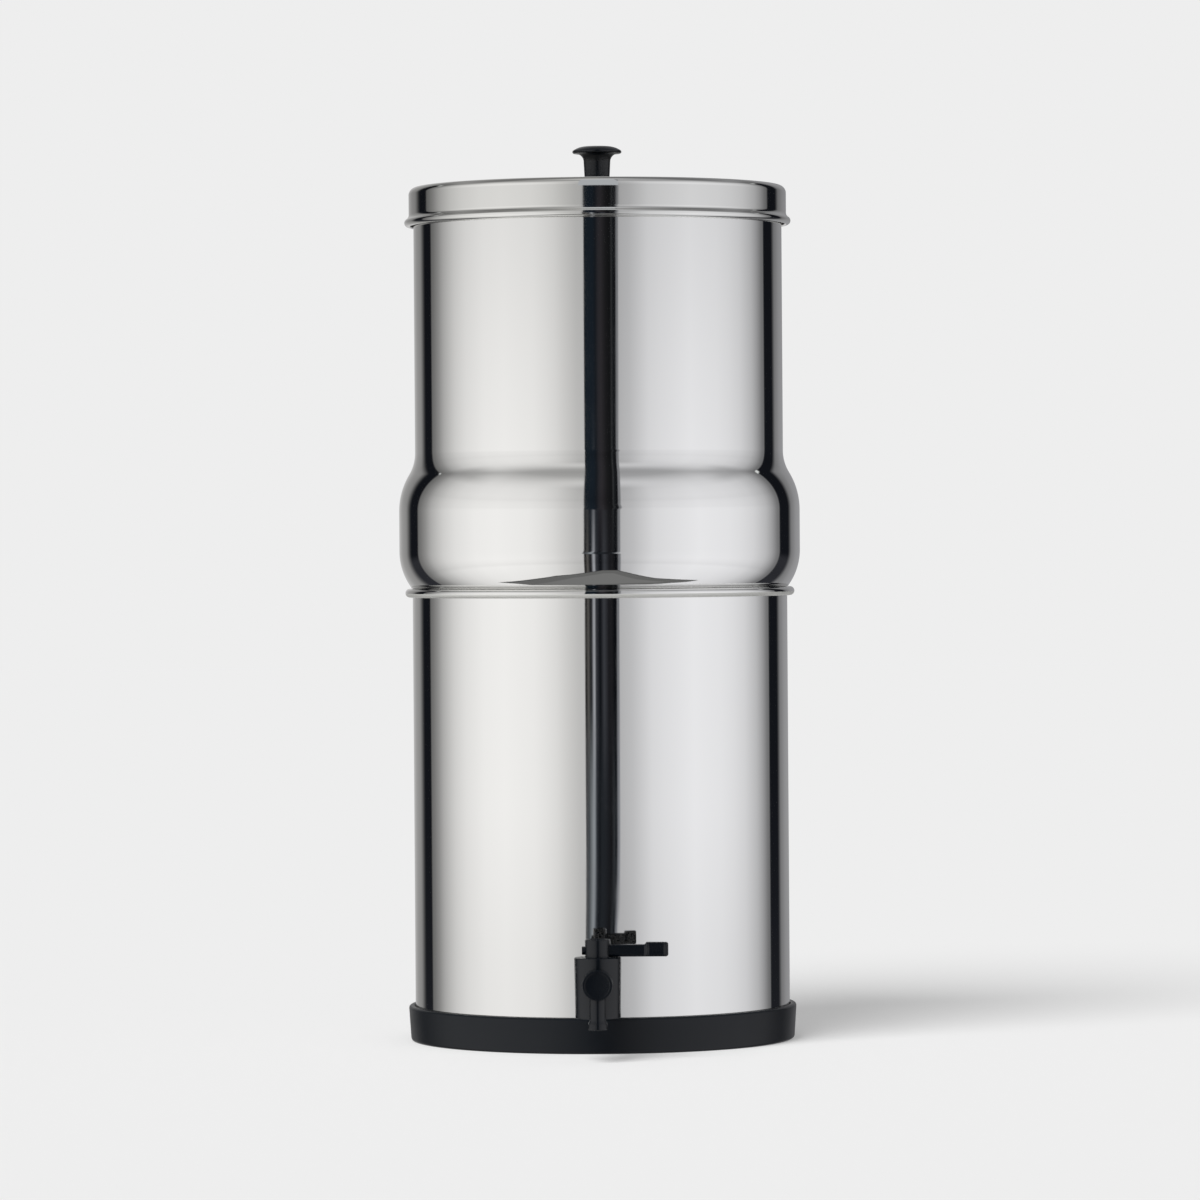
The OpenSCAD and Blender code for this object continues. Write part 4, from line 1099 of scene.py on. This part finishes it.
def calc_in(tree):
    """A function that adds a math node to the tree and returns its output."""
    def calc(operation, *values):
        return add(tree, "ShaderNodeMath", dict(enumerate(values)), operation=operation).outputs[0]
    return calc


def make_studio():
    """World that is flat and pale to the camera, an even light to matt surfaces, and a studio of soft
    lamps, dark gaps and a dim back wall to mirrors."""
    world = bpy.data.worlds.new("studio")
    scene.world = world
    world.use_nodes = True
    world.cycles.sampling_method = "NONE"
    tree = world.node_tree
    tree.nodes.clear()
    calc = calc_in(tree)

    def between(value, low, high, to_low=0.0, to_high=1.0):
        """Changes smoothly from to_low, where value is low, to to_high, where it is high."""
        return add(tree, "ShaderNodeMapRange", {0: value, 1: low, 2: high, 3: to_low, 4: to_high},
                   interpolation_type="SMOOTHSTEP").outputs[0]

    def band(value, start, full, fading, end):
        """0 outside start and end, 1 from full to fading, smooth between."""
        return calc("MULTIPLY", between(value, start, full), between(value, fading, end, 1.0, 0.0))

    def mix(factor, a, b, blend="MIX"):
        return add(tree, "ShaderNodeMix", {0: factor, 6: a, 7: b}, data_type="RGBA",
                   blend_type=blend).outputs[2]

    direction = add(tree, "ShaderNodeTexCoord").outputs["Generated"]
    x, y, z = add(tree, "ShaderNodeSeparateXYZ", {0: direction}).outputs
    to_degrees = 180 / math.pi
    height = calc("MULTIPLY", calc("ARCSINE", z), to_degrees)
    bearing = calc("MULTIPLY", calc("ARCTAN2", x, calc("MULTIPLY", y, -1.0)), to_degrees)
    turn = calc("ABSOLUTE", bearing)

    # overhead the two lamps join into one soft ceiling, a little dimmer behind the object
    ceiling = calc("MULTIPLY", between(bearing, -112, -82, 0.68, 1.0),
                   between(bearing, 85, 118, 1.0, 0.62))
    lamps = mix(between(height, 32, 46), ramp(tree, bearing, ROUND), ceiling)
    lamps = mix(1.0, lamps, ramp(tree, height, HIGH), "MULTIPLY")
    # above the lamps the sides fall off sooner than the front
    aside = calc("MULTIPLY", between(turn, 72, 100), between(height, 29, 39))
    lamps = mix(aside, lamps, grey(0.73), "MULTIPLY")
    # the left lamp is a little warmer than the right one
    tint = mix(between(bearing, -20, 20), linear("#fffefe"), linear("#fbfbff"))
    lamps = mix(1.0, lamps, tint, "MULTIPLY")

    # dark flags behind the lamps, and a small bright window at the upper inner corner of each
    flag = calc("MULTIPLY", calc("ADD", band(bearing, -148, -137, -128.5, -126.5),
                                 band(bearing, 126.5, 128.5, 139.5, 147)),
                between(height, 29.5, 31.5, 1.0, 0.0))
    lamps = mix(flag, lamps, mix(between(height, -8, -2), linear("#303136"), linear("#16181d")))
    window = calc("MULTIPLY", band(turn, 125.8, 127.2, 130.2, 131.8), band(height, 28, 29, 31, 32.5))
    lamps = mix(window, lamps, (0.85, 0.87, 0.87, 1))

    # dark gap between the lamps, measured from the camera's side as one that arches over the object;
    # it leans a little near the horizon
    half = calc("ARCTAN2", x, calc("SUBTRACT", 1.0, y))
    lean = calc("ADD", ramp(tree, height, GAP_LEAN), GAP_BEARING - LEAN_SHIFT)
    across = calc("SUBTRACT", calc("MULTIPLY", half, 2 * to_degrees), lean)
    across = calc("DIVIDE", across, ramp(tree, height, GAP_WIDE))
    gap = calc("MULTIPLY", band(across, -10.0, -9.6, 10.8, 11.2),
               calc("MULTIPLY", between(height, 70.0, 76.0, 1.0, 0.0), calc("LESS_THAN", y, 0.0)))
    inside = mix(between(height, -0.8, 0.9), ramp(tree, across, GAP_MID), ramp(tree, across, GAP_HIGH))
    inside = mix(band(height, -6.0, -5.0, -2.8, -1.4), inside, ramp(tree, across, GAP_LOW))
    mirror = mix(gap, lamps, inside)

    path = add(tree, "ShaderNodeLightPath").outputs
    shiny = calc("MAXIMUM", path["Is Glossy Ray"], path["Is Transmission Ray"])
    matt = mix(path["Is Camera Ray"], grey(SKY), grey(PALE))
    glow = add(tree, "ShaderNodeBackground", {0: mix(shiny, matt, mirror), 1: 1.0})
    add(tree, "ShaderNodeOutputWorld", {0: glow.outputs[0]})


FLOOR_GLOW = 0.36       # share of the floor's brightness that no shadow takes away


def stage_card(name, points, faces, finish_name):
    """A flat piece of the studio with an empty node material, whose tree it returns too."""
    mesh = bpy.data.meshes.new(name)
    mesh.from_pydata(points, [], faces)
    card = linked(name, mesh)
    material = bpy.data.materials.new(finish_name)
    material.use_nodes = True
    material.node_tree.nodes.clear()
    mesh.materials.append(material)
    return card, material.node_tree


def make_floor():
    """Pale matt floor, large enough to reach the backdrop, that mirrors don't show. A part of its
    brightness glows, as light paper lit from behind, so that shadows on it stay pale."""
    half = 9.0
    corners = [(-half, -half, 0), (half, -half, 0), (half, half, 0), (-half, half, 0)]
    floor, tree = stage_card("floor", corners, [(0, 1, 2, 3)], "matt_paper")
    floor.visible_glossy = False
    glow = PALE * FLOOR_GLOW
    paper = add(tree, "ShaderNodeBsdfDiffuse", {0: grey(PALE - glow)})
    shine = add(tree, "ShaderNodeEmission", {0: grey(glow)})
    both = add(tree, "ShaderNodeAddShader", {0: paper.outputs[0], 1: shine.outputs[0]})
    add(tree, "ShaderNodeOutputMaterial", {0: both.outputs[0]})


def mirror_only(name, points, faces):
    """A card of the studio that only mirrors show; returns its material's tree."""
    card, tree = stage_card(name, points, faces, name)
    card.visible_camera = card.visible_diffuse = card.visible_shadow = False
    return tree


def glow_where(tree, colour, shown):
    """Makes a card glow in this colour, and clear where shown(calc, x, y, z, length) is 0: calc adds a
    math node, x, y and z are the point, and length is that of the ray that meets it."""
    place = add(tree, "ShaderNodeTexCoord").outputs["Object"]
    length = add(tree, "ShaderNodeLightPath").outputs["Ray Length"]
    share = shown(calc_in(tree), *add(tree, "ShaderNodeSeparateXYZ", {0: place}).outputs, length)
    clear = add(tree, "ShaderNodeBsdfTransparent")
    glow = add(tree, "ShaderNodeEmission", {0: colour})
    both = add(tree, "ShaderNodeMixShader", {0: share, 1: clear.outputs[0], 2: glow.outputs[0]})
    add(tree, "ShaderNodeOutputMaterial", {0: both.outputs[0]})


TABLE_Z = -1.2          # metres, as all lengths below
TABLE_CORNERS = [(-1.4, -0.325), (-1.1, -0.47), (-0.6, -0.6), (0, -0.66), (0.6, -0.64), (0.92, -0.55),
                 (1.15, -0.44), (1.42, -0.36), (1.25, -0.6), (1.05, -0.85), (0.885, -1.03),
                 (0.74, -1.37), (0.6, -1.74), (0.44, -2.12), (0.11, -2.16), (-0.25, -1.84),
                 (-0.53, -1.565), (-0.75, -1.41), (-0.89, -1.16), (-1.02, -0.96), (-1.21, -0.61)]
TABLE_MIDDLE = (0.1, -1.1)
BODY_R = 0.1            # of the steel that shows the painted tabletop reflection
TABLE_SEEN_AT = [(0.248, 0.03), (0.447, 0.025)]     # heights where the steel shows the painted tabletop reflection, give or take


def make_table():
    """Glowing cards far below the floor, shaped as the corner of a grey tabletop that points to the
    camera's side, with a darker border and a paler middle: a painted reflection, which only the belly's
    underside and the lid's bead show. With r a point's distance from the axis and L the ray's length,
    the ray falls by sqrt(L^2 - (r - BODY_R)^2), and the cards show where that fall leads back to the
    height of one of those two."""
    def shown(calc, x, y, z, length):
        r = calc("SQRT", calc("ADD", calc("MULTIPLY", x, x), calc("MULTIPLY", y, y)))
        out = calc("SUBTRACT", r, BODY_R)
        fall = calc("SQRT", calc("SUBTRACT", calc("MULTIPLY", length, length),
                                 calc("MULTIPLY", out, out)))
        return calc("MAXIMUM", *(calc("COMPARE", fall, seen_z - TABLE_Z, reach)
                                 for seen_z, reach in TABLE_SEEN_AT))

    middle = np.array(TABLE_MIDDLE)
    # each card glows in its grey only where the steel mirrors it: a painted reflection, not a lamp
    for name, share, rise, shade in (("painted_table_reflection_border", 1.0, 0, 0.06), ("painted_table_reflection", 0.94, 0.001, 0.16),
                                     ("painted_table_reflection_middle", 0.6, 0.002, 0.21)):
        rim = middle + share * (np.array(TABLE_CORNERS) - middle)
        points = [(x, y, TABLE_Z + rise) for x, y in rim.tolist()]
        glow_where(mirror_only(name, points, [range(len(points))]), grey(shade), shown)


VEIL_R = 0.9
# How much of the lamps' light reaches the mirrors, by height at VEIL_R from the axis
VEIL = [(-0.25, 1.0), (-0.12, 1.0), (-0.05, 0.92), (-0.005, 0.935), (0.043, 0.97), (0.09, 1.0),
        (0.31, 1.0), (0.344, 0.975), (0.378, 0.955), (0.413, 0.93), (0.469, 0.885), (0.503, 0.86),
        (0.7, 0.93), (0.9, 1.0)]


def make_veil():
    """Thin round curtain between the lamps and the object that only mirrors see through: it dims the
    lamps a little towards the top and the bottom of their fronts."""
    ends = [(VEIL_R, VEIL[0][0]), (VEIL_R, VEIL[-1][0])]
    points, faces = lathe_arrays(ends, SMALL_SEGMENTS)
    tree = mirror_only("veil", points.tolist(), faces)
    place = add(tree, "ShaderNodeTexCoord").outputs["Object"]
    z = add(tree, "ShaderNodeSeparateXYZ", {0: place}).outputs[2]
    gauze = add(tree, "ShaderNodeBsdfTransparent", {0: ramp(tree, z, VEIL)})
    add(tree, "ShaderNodeOutputMaterial", {0: gauze.outputs[0]})


# glowing card, seen only in mirrors, that paints the highlight line on the lid's upper corner and bead
CARD_LEFT, CARD_RIGHT = -0.0101, 0.0155
CARD_LOW, CARD_TOP = 0.4552, 0.52
CARD_Y = -0.112
CARD_GAP = 0.0105       # from the lid's corner to the card
CORNER_Z = 0.457        # height from which the lid's corner mirrors the card
CARD_FREE_Z = 0.468     # above this the card also shows to longer rays
CARD_FAR = 0.08         # the longest ray that shows it
CARD_LEAST, CARD_MOST = 0.94, 1.12      # shares of the expected length that show it
CARD_COLOUR = (0.53, 0.55, 0.585, 1)


def make_lid_card():
    """Small glowing card just in front of the lid that only mirrors show: a painted highlight, the light
    line along the lid's upper corner and bead. It shows where the ray is about as long as one from that
    corner, sqrt(CARD_GAP^2 + (z - CORNER_Z)^2), so that a lifted wall mirrors next to nothing of it."""
    def shown(calc, x, y, z, length):
        rise = calc("SUBTRACT", z, CORNER_Z)
        expected = calc("SQRT", calc("ADD", calc("MULTIPLY", rise, rise), CARD_GAP ** 2))
        share = calc("DIVIDE", length, expected)
        near = calc("MAXIMUM", calc("LESS_THAN", share, CARD_MOST),
                    calc("GREATER_THAN", z, CARD_FREE_Z))
        return calc("MULTIPLY", calc("MULTIPLY", near, calc("GREATER_THAN", share, CARD_LEAST)),
                    calc("LESS_THAN", length, CARD_FAR))

    corners = [(CARD_LEFT, CARD_Y, CARD_LOW), (CARD_RIGHT, CARD_Y, CARD_LOW),
               (CARD_RIGHT, CARD_Y, CARD_TOP), (CARD_LEFT, CARD_Y, CARD_TOP)]
    glow_where(mirror_only("painted_lid_highlight", corners, [(0, 1, 2, 3)]), CARD_COLOUR, shown)


SUN_HEIGHT = 48.5       # degrees above the floor
SUN_BEARING = -31.6     # degrees round from the front, to the left
SUN_WIDTH = 34.0        # degrees across, which makes the shadow's edge soft


def make_sun():
    """Large soft key lamp from the front left; with the sky it lights the floor to its own colour."""
    lamp = bpy.data.lights.new("key", "SUN")
    lamp.energy = (1 - SKY) * math.pi / math.sin(math.radians(SUN_HEIGHT))
    lamp.angle = math.radians(SUN_WIDTH)
    sun = linked("key", lamp)
    sun.rotation_euler = Euler((math.radians(90 - SUN_HEIGHT), 0, math.radians(SUN_BEARING)))
    sun.visible_glossy = False


CAMERA_FAR = 3.29       # metres from the chambers' axis
CAMERA_EYE = 0.2738
CAMERA_BEARING = 0.98   # degrees round to the right
GAP_BEARING = 1.83      # the same for the middle of the dark gap that mirrors show
CAMERA_ROLL = 0.4
CAMERA_LENS = 182.9     # millimetres, on a square sensor of 36 mm
CAMERA_AIM = 0.2366


def make_camera():
    """Long lens far off, turned a little about its own axis."""
    lens = bpy.data.cameras.new("camera")
    lens.lens = CAMERA_LENS
    lens.sensor_width = 36
    lens.clip_end = 50
    camera = linked("camera", lens)
    bearing = math.radians(CAMERA_BEARING)
    camera.location = (CAMERA_FAR * math.sin(bearing), -CAMERA_FAR * math.cos(bearing), CAMERA_EYE)
    look = Vector((0, 0, CAMERA_AIM)) - camera.location
    turn = look.to_track_quat("-Z", "Y").to_matrix().to_4x4()
    roll = Euler((0, 0, math.radians(-CAMERA_ROLL))).to_matrix().to_4x4()
    camera.rotation_euler = (turn @ roll).to_euler()
    scene.camera = camera


make_camera()
make_studio()
make_floor()
make_table()
make_lid_card()
make_veil()
make_sun()
scene.view_settings.view_transform = "Standard"
